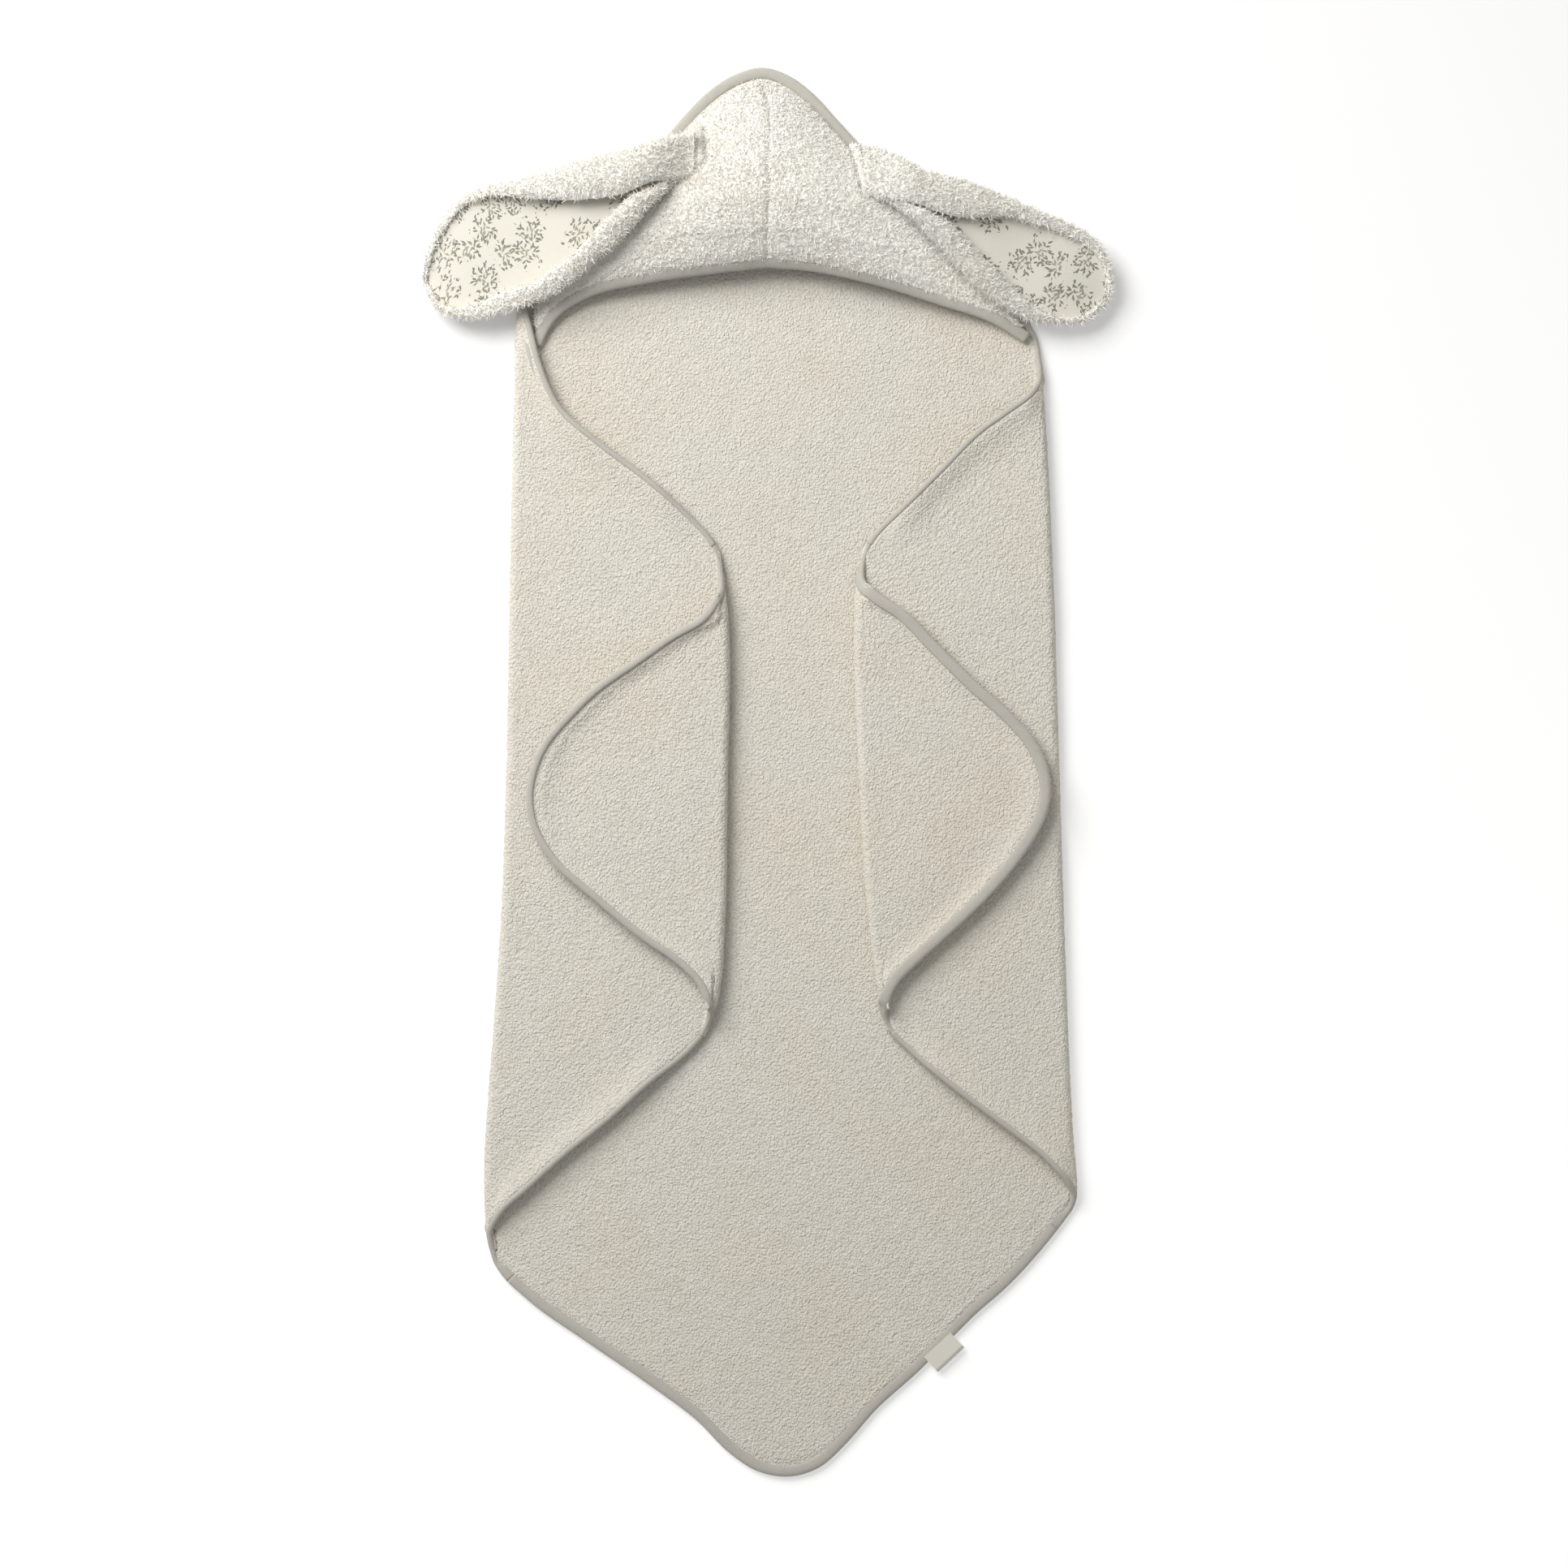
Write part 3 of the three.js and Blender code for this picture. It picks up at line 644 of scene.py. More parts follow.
def tape(name, path, section=TAPE_SECTION):
    """Tape with this section swept along an edge, with its length and width as coordinates."""
    p, side, face, t = path
    section = np.array(section)
    ring = len(section)
    loops = p[:, None] + side[:, None] * section[None, :, :1] + face[:, None] * section[None, :, 1:]
    at = np.arange(len(p) * ring).reshape(len(p), ring)
    nxt = np.roll(at, -1, axis=1)
    quads = np.stack([at[:-1], at[1:], nxt[1:], nxt[:-1]], -1).reshape(-1, 4)
    grid = np.stack(np.broadcast_arrays(t[:, None], length_along(section)[None]), -1) * MM
    turned = np.roll(grid, -1, 1)
    uv = np.stack([grid[:-1], grid[1:], turned[1:], turned[:-1]], 2)
    points, ends = end_caps(loops.reshape(-1, 3), at)
    mesh = bpy.data.meshes.new(name)
    mesh.from_pydata((points * MM).tolist(), [], [list(q) for q in quads] + ends)
    layer = mesh.uv_layers.new(name="along")
    flat = np.zeros((len(mesh.loops), 2), np.float32)
    flat[: len(quads) * 4] = uv.reshape(-1, 2)
    layer.data.foreach_set("uv", flat.ravel())
    mesh.polygons.foreach_set("use_smooth", np.ones(len(mesh.polygons), bool))
    mesh.validate()
    corner = points[quads]
    normal = np.cross(corner[:, 1] - corner[:, 0], corner[:, 3] - corner[:, 0])
    hub = np.repeat(p[:-1] + side[:-1] * 3, ring, axis=0)
    if ((corner.mean(1) - hub) * normal).sum() < 0:
        mesh.flip_normals()
    return add_to_scene(name, mesh)


def edge_path(mid, low, flip=False):
    """Frames along the first (low) or last row of a cloth grid."""
    if flip:
        mid = mid[::-1]
    n = normals(mid)
    j, step = (0, 1) if low else (-1, -1)
    points = mid[:, j]
    inwards = mid[:, j + step * 3] - mid[:, j]
    return points, inwards, n[:, j]


def tip_path(mid, flip=False):
    """Frames round a tip: up and over its fold, along its edge and back round the fold."""
    n = normals(mid[::-1])[::-1] if flip else normals(mid)
    upper = (mid[:-2, -1], mid[:-2, -4] - mid[:-2, -1], n[:-2, -1])
    end = (mid[-1, ::-1][2:-2], (mid[-4] - mid[-1])[::-1][2:-2], n[-1, ::-1][2:-2])
    lower = (mid[-3::-1, 0], (mid[:, 3] - mid[:, 0])[-3::-1], n[-3::-1, 0])
    return [np.concatenate(rows) for rows in zip(upper, end, lower)]


# The left tip's edge stands up, so less of its tape's width shows.
NARROW_SECTION = [(a if a < 3 else 3 + (a - 3) * 0.42, b) for a, b in TAPE_SECTION]

# ------------------------------------------------------------------ materials


def terry_material(name, light, shade, warm, grain, strand, depth):
    """Looped pile: small tufts with painted shade round their roots, leaning strands with painted
    light on their crests and painted shade between them, and a faint cloudy tint.
    """
    values = {"Roughness": 1.0, "Sheen_Weight": 0.18, "Sheen_Roughness": 0.6}
    material, tree, surface = new_material(name, **values)
    point = object_point(tree)
    jitter = node(tree, "ShaderNodeTexNoise", Vector=point, Scale=grain * 0.5).outputs["Color"]
    wobble = vectors(tree, "ADD", point, vectors(tree, "MULTIPLY", jitter, grey(1.6 / grain)))
    tufts = {"feature": "SMOOTH_F1", "Vector": wobble, "Scale": grain, "Smoothness": 0.6}
    tuft = node(tree, "ShaderNodeTexVoronoi", **tufts).outputs["Distance"]
    strands = noise(tree, object_point(tree, (1, strand, 1)), grain * 2.2, 2)
    # painted shade and light: colour darkens from each tuft's middle out to its root, and along the
    # strands' hollows, as the bump height falls
    root = ramp_node(tree, tuft, [(0.15, light), (0.75, shade)])
    strand_light_and_shade = ramp_node(tree, strands, [(0.3, shade), (0.62, light)])
    pile = blend_colour(tree, 0.35, root, strand_light_and_shade)
    clouds = ramp_node(tree, noise(tree, point, 9, 2), [(0.42, grey(1)), (0.72, warm)])
    tone = blend_colour(tree, 1.0, pile, clouds, "MULTIPLY")
    mottle = noise(tree, point, 70)
    tinted(tree, surface, tone, mottle, [(0.3, (0.965, 0.965, 0.96)), (0.6, grey(1))])
    height = sums(tree, "MULTIPLY_ADD", strands, 0.7, sums(tree, "MULTIPLY", tuft, -1.0))
    raise_surface(tree, surface, height, 1.0, depth)
    return material


def tape_material():
    """Fine ribbed tape, with painted shade where its ribs and grain sink and painted light where
    they rise.
    """
    material, tree, surface = new_material("ribbed_tape", Roughness=0.85)
    along = parts_of(tree, node(tree, "ShaderNodeUVMap", uv_map="along").outputs["UV"])["X"]
    ribs = sums(tree, "SINE", sums(tree, "MULTIPLY", along, 2 * math.pi / RIB_PITCH))
    point = object_point(tree)
    height = sums(tree, "MULTIPLY_ADD", ribs, 0.25, noise(tree, point, 1400, 2))
    # painted light and shade: the colour follows the ribs' height, darker in their grooves
    colour = ramp_node(tree, height, [(0.2, (0.50, 0.475, 0.42)), (0.75, (0.60, 0.575, 0.52))])
    tinted(tree, surface, colour, noise(tree, point, 120, 2), [(0.3, grey(0.95)), (0.7, grey(1))])
    raise_surface(tree, surface, height, 0.6, 0.0003)
    return material


def cotton_material(name, colour, weave, depth):
    """Smooth woven cotton with a fine thread grain."""
    material, tree, surface = new_material(name, Roughness=0.8)
    threads = noise(tree, object_point(tree), weave, 2)
    tone = ramp_node(tree, threads, [(0.3, tuple(c * 0.96 for c in colour)), (0.7, colour)])
    link(tree, tone, surface.inputs["Base Color"])
    raise_surface(tree, surface, threads, 0.5, depth)
    return material, tree, surface, tone


def nearest_centre(tree, point, pitch, scatter):
    """The nearest of many scattered centres, and this place measured from it, in millimetres."""
    small = vectors(tree, "MULTIPLY", point, (1 / pitch, 1 / pitch, 0))
    values = {"voronoi_dimensions": "2D", "Vector": small, "Scale": 1.0, "Randomness": scatter}
    cells = node(tree, "ShaderNodeTexVoronoi", **values)
    centre = vectors(tree, "MULTIPLY", cells.outputs["Position"], (pitch, pitch, 0))
    return centre, vectors(tree, "SUBTRACT", point, centre), cells.outputs["Color"]


def leaf_part(tree, place, size, power):
    """One term of a leaf's outline: 1 at this distance from its middle."""
    return sums(tree, "POWER", sums(tree, "ABSOLUTE", sums(tree, "DIVIDE", place, size)), power)


def sprig_leaves(tree, point, shift, bunch_centre, bunch_edge):
    """A scatter of small leaves that point away from the middle of their bunch."""
    moved = vectors(tree, "ADD", point, shift)
    leaf_centre, local, chance = nearest_centre(tree, moved, LEAF_PITCH, 0.9)
    leaf_place = vectors(tree, "SUBTRACT", leaf_centre, shift)
    outward = vectors(tree, "SUBTRACT", leaf_place, bunch_centre)
    away, pick, spot = (parts_of(tree, v) for v in (outward, chance, local))
    lean = sums(tree, "MULTIPLY_ADD", pick["X"], 2.2, -1.1)
    angle = sums(tree, "ADD", sums(tree, "ARCTAN2", away["Y"], away["X"]), lean)
    cosine, sine = sums(tree, "COSINE", angle), sums(tree, "SINE", angle)
    turned = [sums(tree, "MULTIPLY", spot[a], b) for a in "XY" for b in (cosine, sine)]
    along = sums(tree, "ADD", turned[0], turned[3])
    across = sums(tree, "SUBTRACT", turned[2], turned[1])
    end, edge = LEAF_SIZE
    outline = leaf_part(tree, along, end, 1.6), leaf_part(tree, across, edge, 1.3)
    leaf = sums(tree, "LESS_THAN", sums(tree, "ADD", *outline), 1.0)
    stem = sums(tree, "LESS_THAN", sums(tree, "ABSOLUTE", across), STEM_HALF)
    reach = vectors(tree, "LENGTH", outward)
    inside = sums(tree, "LESS_THAN", reach, bunch_edge)
    kept = sums(tree, "MULTIPLY", inside, sums(tree, "LESS_THAN", pick["Y"], LEAVES_KEPT))
    return sums(tree, "MULTIPLY", sums(tree, "MAXIMUM", leaf, stem), kept), reach


def sprig_material():
    """Cream cotton printed with loose bunches of small grey-green leaves."""
    material, tree, surface, tone = cotton_material("sprig_cotton", (0.80, 0.77, 0.68), 900, 0.0002)
    point = node(tree, "ShaderNodeAttribute", attribute_name="flat").outputs["Vector"]
    bunch_centre = nearest_centre(tree, point, SPRIG_PITCH, 0.8)[0]
    edge = sums(tree, "MULTIPLY_ADD", noise(tree, point, 0.16, 1), 26, SPRIG_REACH - 14.5)
    shifts = ((0, 0, 0), (61.3, 17.9, 0))
    leaves = [sprig_leaves(tree, point, shift, bunch_centre, edge) for shift in shifts]
    printed = sums(tree, "MAXIMUM", leaves[0][0], leaves[1][0])
    share = sums(tree, "DIVIDE", leaves[1][1], SPRIG_REACH)
    ink = ramp_node(tree, share, [(0.15, (0.36, 0.335, 0.26)), (0.75, (0.15, 0.15, 0.115))])
    final = blend_colour(tree, sums(tree, "MULTIPLY", printed, INK_STRENGTH), tone, ink)
    link(tree, final, surface.inputs["Base Color"])
    return material


def pile_material(name, colour):
    """The loose loops standing up from the terry."""
    material, tree, surface = new_material(name, Roughness=1.0)
    point = object_point(tree)
    shade = tuple(c * 0.93 for c in colour)
    base = ramp_node(tree, noise(tree, point, 260, 2), [(0.3, shade), (0.6, colour)])
    cloud = noise(tree, point, 14, 2)
    tinted(tree, surface, base, cloud, [(0.35, grey(1)), (0.7, (0.985, 0.965, 0.93))])
    return material


RIB_PITCH = 0.0011
# The lining's print, in millimetres on the flat cloth.
SPRIG_PITCH = 27
SPRIG_REACH = 12
LEAF_PITCH = 3.9
LEAF_SIZE = (2.1, 0.78)
STEM_HALF = 0.13
LEAVES_KEPT = 0.8
INK_STRENGTH = 0.85

# Each terry's first two colours are its painted light and its painted shade; the third is a cloudy
# tint.
towel_terry = terry_material(
    "towel_terry", (0.89, 0.855, 0.775), (0.68, 0.645, 0.56), (1.0, 0.975, 0.94), 560, 0.4, 0.0010
)
hood_terry = terry_material(
    "hood_terry", (0.96, 0.945, 0.90), (0.84, 0.815, 0.75), (1.0, 0.985, 0.96), 300, 0.6, 0.0012
)
ribbed_tape = tape_material()
sprig_cotton = sprig_material()
label_cotton = cotton_material("label_cotton", (0.80, 0.77, 0.69), 1500, 0.00015)[0]
hood_loops = pile_material("hood_loops", (0.985, 0.975, 0.94))

# ------------------------------------------------------------------ loose pile

# Loops to the square metre, their length and width in metres, and how far they lean.
EVERY_PILE = {"Loops": 5.5e5, "Width": 0.0010, "Finish": hood_loops}
HOOD_PILE = {**EVERY_PILE, "Length": 0.0032, "Lean": 1.3}
EAR_PILE = {**EVERY_PILE, "Length": 0.0046, "Lean": 1.2}
TUCK_PILE = {**EVERY_PILE, "Length": 0.003, "Lean": 1.2}
LOOP_SIZES = (0.55, 1.25)  # shares of the length and width, at random


def pile_tree():
    """Scatters small leaning loops over a cloth, thick where its pile attribute is high."""
    tree = bpy.data.node_groups.new("loose_pile", "GeometryNodeTree")
    face = tree.interface
    sockets = {"Cloth": "Geometry", "Loops": "Float", "Length": "Float", "Width": "Float"}
    sockets |= {"Lean": "Float", "Seed": "Int", "Finish": "Material"}
    for name, kind in sockets.items():
        face.new_socket(name, in_out="INPUT", socket_type=f"NodeSocket{kind}")
    face.new_socket("Pile", in_out="OUTPUT", socket_type="NodeSocketGeometry")
    start = node(tree, "NodeGroupInput").outputs
    thick = node(tree, "GeometryNodeInputNamedAttribute", data_type="FLOAT", Name="pile")
    places = node(tree, "GeometryNodeDistributePointsOnFaces", distribute_method="RANDOM")
    link(tree, start["Cloth"], places.inputs["Mesh"])
    density = sums(tree, "MULTIPLY", thick.outputs["Attribute"], start["Loops"])
    link(tree, density, places.inputs["Density"])
    link(tree, start["Seed"], places.inputs["Seed"])
    loop = node(tree, "GeometryNodeMeshCone", fill_type="NGON", Vertices=3, Depth=start["Length"])
    loop.inputs["Radius Top"].default_value = 0
    link(tree, sums(tree, "MULTIPLY", start["Width"], 0.5), loop.inputs["Radius Bottom"])
    lean = node(tree, "FunctionNodeRandomValue", data_type="FLOAT_VECTOR", Seed=start["Seed"])
    lean.inputs["Min"].default_value = (-1, -1, -3)
    lean.inputs["Max"].default_value = (1, 1, 3)
    tilt = node(tree, "ShaderNodeVectorMath", operation="SCALE", Scale=start["Lean"])
    link(tree, lean.outputs["Value"], tilt.inputs[0])
    turn = node(tree, "FunctionNodeRotateRotation", rotation_space="LOCAL")
    link(tree, places.outputs["Rotation"], turn.inputs["Rotation"])
    link(tree, tilt.outputs[0], turn.inputs["Rotate By"])
    size = node(tree, "FunctionNodeRandomValue", data_type="FLOAT", Seed=start["Seed"])
    size.inputs[2].default_value, size.inputs[3].default_value = LOOP_SIZES
    put = node(
        tree, "GeometryNodeInstanceOnPoints", Points=places.outputs["Points"],
        Instance=loop.outputs["Mesh"], Rotation=turn.outputs[0], Scale=size.outputs[1],
    )
    made = node(tree, "GeometryNodeRealizeInstances", Geometry=put.outputs["Instances"])
    finish = node(tree, "GeometryNodeSetMaterial", Geometry=made.outputs["Geometry"])
    link(tree, start["Finish"], finish.inputs["Material"])
    link(tree, finish.outputs["Geometry"], node(tree, "NodeGroupOutput").inputs["Pile"])
    return tree


loose_pile = pile_tree()


def grow_pile(cloth, sizes, seed):
    """A separate piece of loose pile that grows on a cloth."""
    work = add_to_scene("pile_work", cloth.data.copy())
    modifier = work.modifiers.new("pile", "NODES")
    modifier.node_group = loose_pile
    keys = {s.name: s.identifier for s in loose_pile.interface.items_tree if s.in_out == "INPUT"}
    for name, value in {**sizes, "Seed": seed}.items():
        modifier[keys[name]] = value
    bpy.context.view_layer.update()
    graph = bpy.context.evaluated_depsgraph_get()
    mesh = bpy.data.meshes.new_from_object(work.evaluated_get(graph))
    bpy.data.objects.remove(work)
    piece = add_to_scene(f"{cloth.name}_pile", mesh)
    return piece


def finish_piece(piece, material, slot_name, *nodes):
    piece.data.materials.append(material)
    if nodes:
        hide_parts(*nodes)


# ------------------------------------------------------------------ build the towel

OUTER_TURN = (CLOTH, LAYER_STEP)
INNER_TURN = (CLOTH + LAYER_STEP, 2 * LAYER_STEP)


def bend_at(piece, a, b, turn, fold, middles):
    """Keeps a piece's layers clear of a fold's turn. Beside the fold the layers below and above the
    turn, told apart by the middle of the cloth at each point, stay out of the heights of the turn."""
    mesh = piece.data
    at = np.empty(len(mesh.vertices) * 3)
    mesh.vertices.foreach_get("co", at)
    at = at.reshape(-1, 3) / MM
    beside = np.abs(middles[:, 0] - fold(middles[:, 1])) > FOLD_ROUND + 0.3
    below = middles[:, 2] < (turn[0] + turn[1]) / 2
    at[:, 2] = np.where(beside & below, np.minimum(at[:, 2], turn[0]), at[:, 2])
    at[:, 2] = np.where(beside & ~below, np.maximum(at[:, 2], turn[1]), at[:, 2])
    mesh.vertices.foreach_set("co", (at * MM).astype(np.float32).ravel())
    mesh.update()
    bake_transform(piece)


def cloth_middles(mid, flip):
    """The middle of the cloth at each point of its two faces."""
    mid = (mid[::-1] if flip else mid).reshape(-1, 3)
    return np.concatenate([mid, mid])


def tape_middles(path):
    """The edge that a tape covers, at each point of its rings and its two ends."""
    p = path[0]
    return np.concatenate([np.repeat(p, len(TAPE_SECTION), axis=0), p[:1], p[-1:]])


centre_mid = centre_surface()
centre_piece = towel_cloth("towel_centre_cloth", centre_mid, ("low", "high"), 11, 1)
finish_piece(centre_piece, towel_terry, "towel_terry", "towel_centre_panel")
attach(centre_piece, "towel_centre")

for name, low in (("top_corner", False), ("bottom_corner", True)):
    piece = tape(f"{name}_tape", tidy_path(*edge_path(centre_mid, low)))
    finish_piece(piece, ribbed_tape, "binding_tape", f"{name}_binding")
    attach(piece, "towel_centre")

for name, side in sides.items():
    flip = side.out < 0
    wing_mid = wing_surface(side)
    wing = towel_cloth(f"{name}_side_cloth", wing_mid, ("low", "high"), 20 + side.out, -1, flip)
    finish_piece(wing, towel_terry, "towel_terry", f"{name}_wing_panel")
    outer_fold = ("towel_centre", f"{name}_wing", OUTER_TURN, side.outer)
    inner_fold = (f"{name}_wing", f"{name}_tip", INNER_TURN, side.inner)
    bend_at(wing, *outer_fold, cloth_middles(wing_mid, flip))
    for part, low in (("upper", False), ("lower", True)):
        path = tidy_path(*edge_path(wing_mid, low, flip))
        piece = tape(f"{name}_side_{part}_tape", path)
        finish_piece(piece, ribbed_tape, "binding_tape", f"{name}_wing_{part}_binding")
        bend_at(piece, *outer_fold, tape_middles(path))
    tip_mid = tip_surface(side)
    # the tip's sheet starts face down, like the wing, and comes face up round its fold
    tip = towel_cloth(f"{name}_tip_cloth", tip_mid, ("low", "high", "end"), 30 + side.out, 1, flip)
    finish_piece(tip, towel_terry, "towel_terry", f"{name}_tip_panel")
    bend_at(tip, *inner_fold, cloth_middles(tip_mid, flip))
    path = tidy_path(*tip_path(tip_mid, flip), soften=16)
    piece = tape(f"{name}_tip_tape", path, NARROW_SECTION if side.out < 0 else TAPE_SECTION)
    finish_piece(piece, ribbed_tape, "binding_tape", f"{name}_tip_binding")
    bend_at(piece, *inner_fold, tape_middles(path))

# ------------------------------------------------------------------ hood and ears: sizes

HOOD_CLOTH = 4.2
EYE = (12, -6.4, 3051)  # hood and ear outlines are given as seen from this height above the floor

HOOD_SEAM = [(-5, 540), (-1, 524), (0.6, 500), (-0.6, 480), (0.4, 455), (-1.4, 430), (-1.3, 396)]
HOOD_SIDES = {
    "left": [
        (-7, 540.5), (-24, 535), (-41, 523), (-57, 508), (-75, 489), (-115, 450), (-155, 410),
        (-172, 391), (-180, 372), (-182, 352), (-177, 334),
    ],
    "right": [
        (-3, 540.5), (13, 534), (28, 523), (47, 503), (66, 482), (125, 424), (170, 380),
        (188, 361), (197, 348), (199, 337),
    ],
}
HOOD_FRONT = {
    "left": [(-1.3, 396), (-45, 391), (-92.9, 384), (-143.4, 371), (-162.3, 359), (-172, 346),
             (-177, 334)],
    "right": [(-1.3, 396), (33.5, 393), (84, 382), (134.5, 366), (175, 352), (199, 337)],
}
HOOD_RISE = [(0, 0), (0.12, 9), (0.28, 20), (0.44, 29), (0.6, 33), (0.76, 30), (0.9, 22), (1, 12)]
# The pleats beside each ear: sewn grooves as pairs of ends, and the ridge between them.
HOOD_GROOVES = [
    ((-50.5, 503), (-47.5, 477)), ((-60.5, 504), (-60.5, 463)), ((62.5, 494), (72, 452)),
    ((72, 486), (79, 450)),
]

# Each ear as rows from its root to its tip: upper outline, the upper roll's inner edge, the
# lower roll's inner edge and the lower outline.
EARS = {
    "left": [
        ((-58, 501), (-58, 467), (-58, 466), (-58, 465)),
        ((-76, 497), (-77, 464), (-77, 463), (-77, 461)),
        ((-90, 494), (-91, 463), (-88, 457), (-86, 450)),
        ((-108, 487), (-112, 453), (-108, 452), (-96, 441)),
        ((-124, 484), (-129, 450), (-121, 438), (-108, 426)),
        ((-145, 479), (-148, 448), (-135, 425), (-121, 412)),
        ((-161, 474), (-166, 448), (-149, 408), (-137, 400)),
        ((-181, 467), (-185, 449), (-166, 396), (-152, 386)),
        ((-202, 462), (-200, 451), (-181, 384), (-169, 374)),
        ((-219, 459), (-216, 452), (-196, 380), (-187, 367)),
        ((-231, 455), (-229, 448), (-212, 374), (-206, 360)),
        ((-241, 449), (-238, 444), (-227, 367), (-222, 356)),
        ((-250, 438), (-247, 434), (-239, 364), (-237, 355)),
        ((-259, 424), (-256, 422), (-248, 364), (-248, 357)),
        ((-264, 412), (-262, 411), (-256, 367), (-257, 361)),
        ((-267, 400), (-266, 399), (-261, 371), (-262, 367)),
        ((-268, 390), (-267, 389), (-264, 377), (-265, 375)),
        ((-268, 385), (-267.5, 384.5), (-266, 381.5), (-266, 380.5)),
    ],
    "right": [
        ((75, 490), (78, 453), (79, 452), (79, 451)),
        ((94, 485), (93, 450), (93, 450), (94, 448)),
        ((109, 477), (108, 447), (107, 445), (109, 439)),
        ((122, 470), (118, 445), (116, 443), (118, 430)),
        ((137, 467), (131, 439), (127, 437), (128, 420)),
        ((152, 463), (146, 435), (140, 431), (139, 408)),
        ((167, 458), (160, 434), (151, 420), (149, 396)),
        ((182, 452), (172, 435), (163, 406), (159, 385)),
        ((196, 446), (187, 436), (176, 396), (169, 376)),
        ((211, 439), (200, 432), (185, 384), (179, 368)),
        ((225, 434), (214, 428), (195, 374), (190, 361)),
        ((239, 428), (229, 421), (205, 367), (200, 355)),
        ((251, 421), (242, 416), (216, 361), (214, 352)),
        ((260, 412), (253, 408), (227, 356), (226, 351)),
        ((266, 400), (262, 397), (237, 355), (238, 351)),
        ((268, 388), (266, 387), (249, 358), (249, 354)),
        ((267, 378), (265, 377), (257, 365), (258, 361)),
        ((265, 373), (264, 372), (260, 369), (261, 367)),
    ],
}
EAR_FLOOR = {"left": (38, 11.5), "right": (34, 10.5)}  # height of its lowest run, root and tip
ROOT_SINK = 8.5  # how far its root is pulled down into the pleat
EAR_ROLL = (12.5, 3.2)  # height of the rolled edges, root and tip
EAR_OUTER = 2.8  # terry outside the ear's middle line
EAR_INNER = 0.6
LINING_CLOTH = 1.0
LINING_GAP = 0.35
EAR_ROWS = 170
EAR_STOPS = 12  # steps across the rolled section, from one free edge to the other
LINING_ROWS = slice(16, 167)
LINING_COLUMNS = 84
HOOD_RELIEF = 0.28
EAR_RELIEF = 0.25
# Depth or height and half width of the hood's seam, of each groove and of the swell beside it.
SEAM_SUNK = (2.6, 2.3)
GROOVE = (4.6, 1.9)
SWELL = (1.8, 8)
EAR_HINGE = {"left": -57, "right": 75}  # across the towel, where each ear starts to bend

# ------------------------------------------------------------------ hood


def under_eye(points):
    """Moves raised points in to where they must lie to be seen at their given places."""
    moved = points.copy()
    scale = (EYE[2] - points[..., 2]) / EYE[2]
    for k in (0, 1):
        moved[..., k] = EYE[k] + (points[..., k] - EYE[k]) * scale
    return moved


def from_line(x, y, a, b):
    a, b = np.array(a), np.array(b)
    along = b - a
    t = np.clip(((x - a[0]) * along[0] + (y - a[1]) * along[1]) / (along @ along), 0, 1)
    return np.hypot(x - a[0] - t * along[0], y - a[1] - t * along[1])


def places_on(line, shares):
    t = np.linspace(0, 1, len(line))
    return np.stack([np.interp(shares, t, line[:, k]) for k in (0, 1)], -1)


def hood_half(name, columns=84, rows=96):
    """One half's middle surface, from the seam outwards and from the point to the front."""
    seam, outer, front = (curve(c, 401) for c in (HOOD_SEAM, HOOD_SIDES[name], HOOD_FRONT[name]))
    u = (np.linspace(0, 1, columns) ** 1.45)[:, None]
    v = np.linspace(0, 1, rows)[None, :]
    inner, edge, lip = places_on(seam, v[0]), places_on(outer, v[0]), places_on(front, u[:, 0])
    straight = seam[-1] * (1 - u) + outer[-1] * u
    plan = inner[None] * (1 - u[..., None]) + edge[None] * u[..., None]
    plan += (lip - straight)[:, None] * (v[0] ** 3)[None, :, None]
    x, y = plan[..., 0], plan[..., 1]
    rise = np.interp(v, *zip(*HOOD_RISE)) * (1 - u**2.3)
    rise = rise + 1.5 * waves(x, y, 75, 41) * np.clip(rise / 15, 0, 1)
    side = np.abs(x - np.interp(y, seam[::-1, 1], seam[::-1, 0]))
    rise -= SEAM_SUNK[0] * hill(side, SEAM_SUNK[1]) * (0.35 + 0.65 * (1 - ramp(0.9, 1, v)))
    for a, b in HOOD_GROOVES:
        far = from_line(x, y, a, b)
        rise += SWELL[0] * hill(far, SWELL[1]) - GROOVE[0] * hill(far, GROOVE[1])
    z = CLOTH + 0.6 + HOOD_CLOTH / 2 + np.maximum(rise, -0.4)
    return under_eye(np.stack([x, y, z], -1))


def hood_height(grids, x, y):
    """Height of the hood's middle surface at a place."""
    cloud = np.concatenate([g.reshape(-1, 3) for g in grids])
    far = (cloud[:, 0] - x) ** 2 + (cloud[:, 1] - y) ** 2
    near = np.argsort(far)[:6]
    return cloud[near, 2].mean()


hood_grids = {name: hood_half(name) for name in sides}

for name, grid in hood_grids.items():
    low_side = name == "left"
    mid = grid if low_side else grid[::-1]
    far = np.minimum(edge_distance(grid, ("high",)), 40)
    near_end = np.minimum(edge_distance(grid, ("end",)), 40)
    press = 0.35 + 0.65 * ramp(TAPE_WIDTH - 3, TAPE_WIDTH + 1, far)
    press = press * (0.4 + 0.6 * ramp(0, 5, near_end))
    fade = ramp(TAPE_WIDTH - 1, TAPE_WIDTH + 1.5, far)
    if not low_side:
        press, fade = press[::-1], fade[::-1]
    half = HOOD_CLOTH / 2 * press
    # rows must run so that the face looks up
    up = normals(mid)[..., 2].mean() > 0
    if not up:
        mid, half, fade = mid[::-1], half[::-1], fade[::-1]
    piece = shell(f"hood_{name}_cloth", mid, half, half, HOOD_RELIEF, 51 + low_side, fade, 1)
    finish_piece(piece, hood_terry, "hood_terry", f"hood_{name}_panel")
    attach(piece, "towel_centre")
    pile = grow_pile(piece, HOOD_PILE, 61 + low_side)
    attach(pile, "towel_centre")


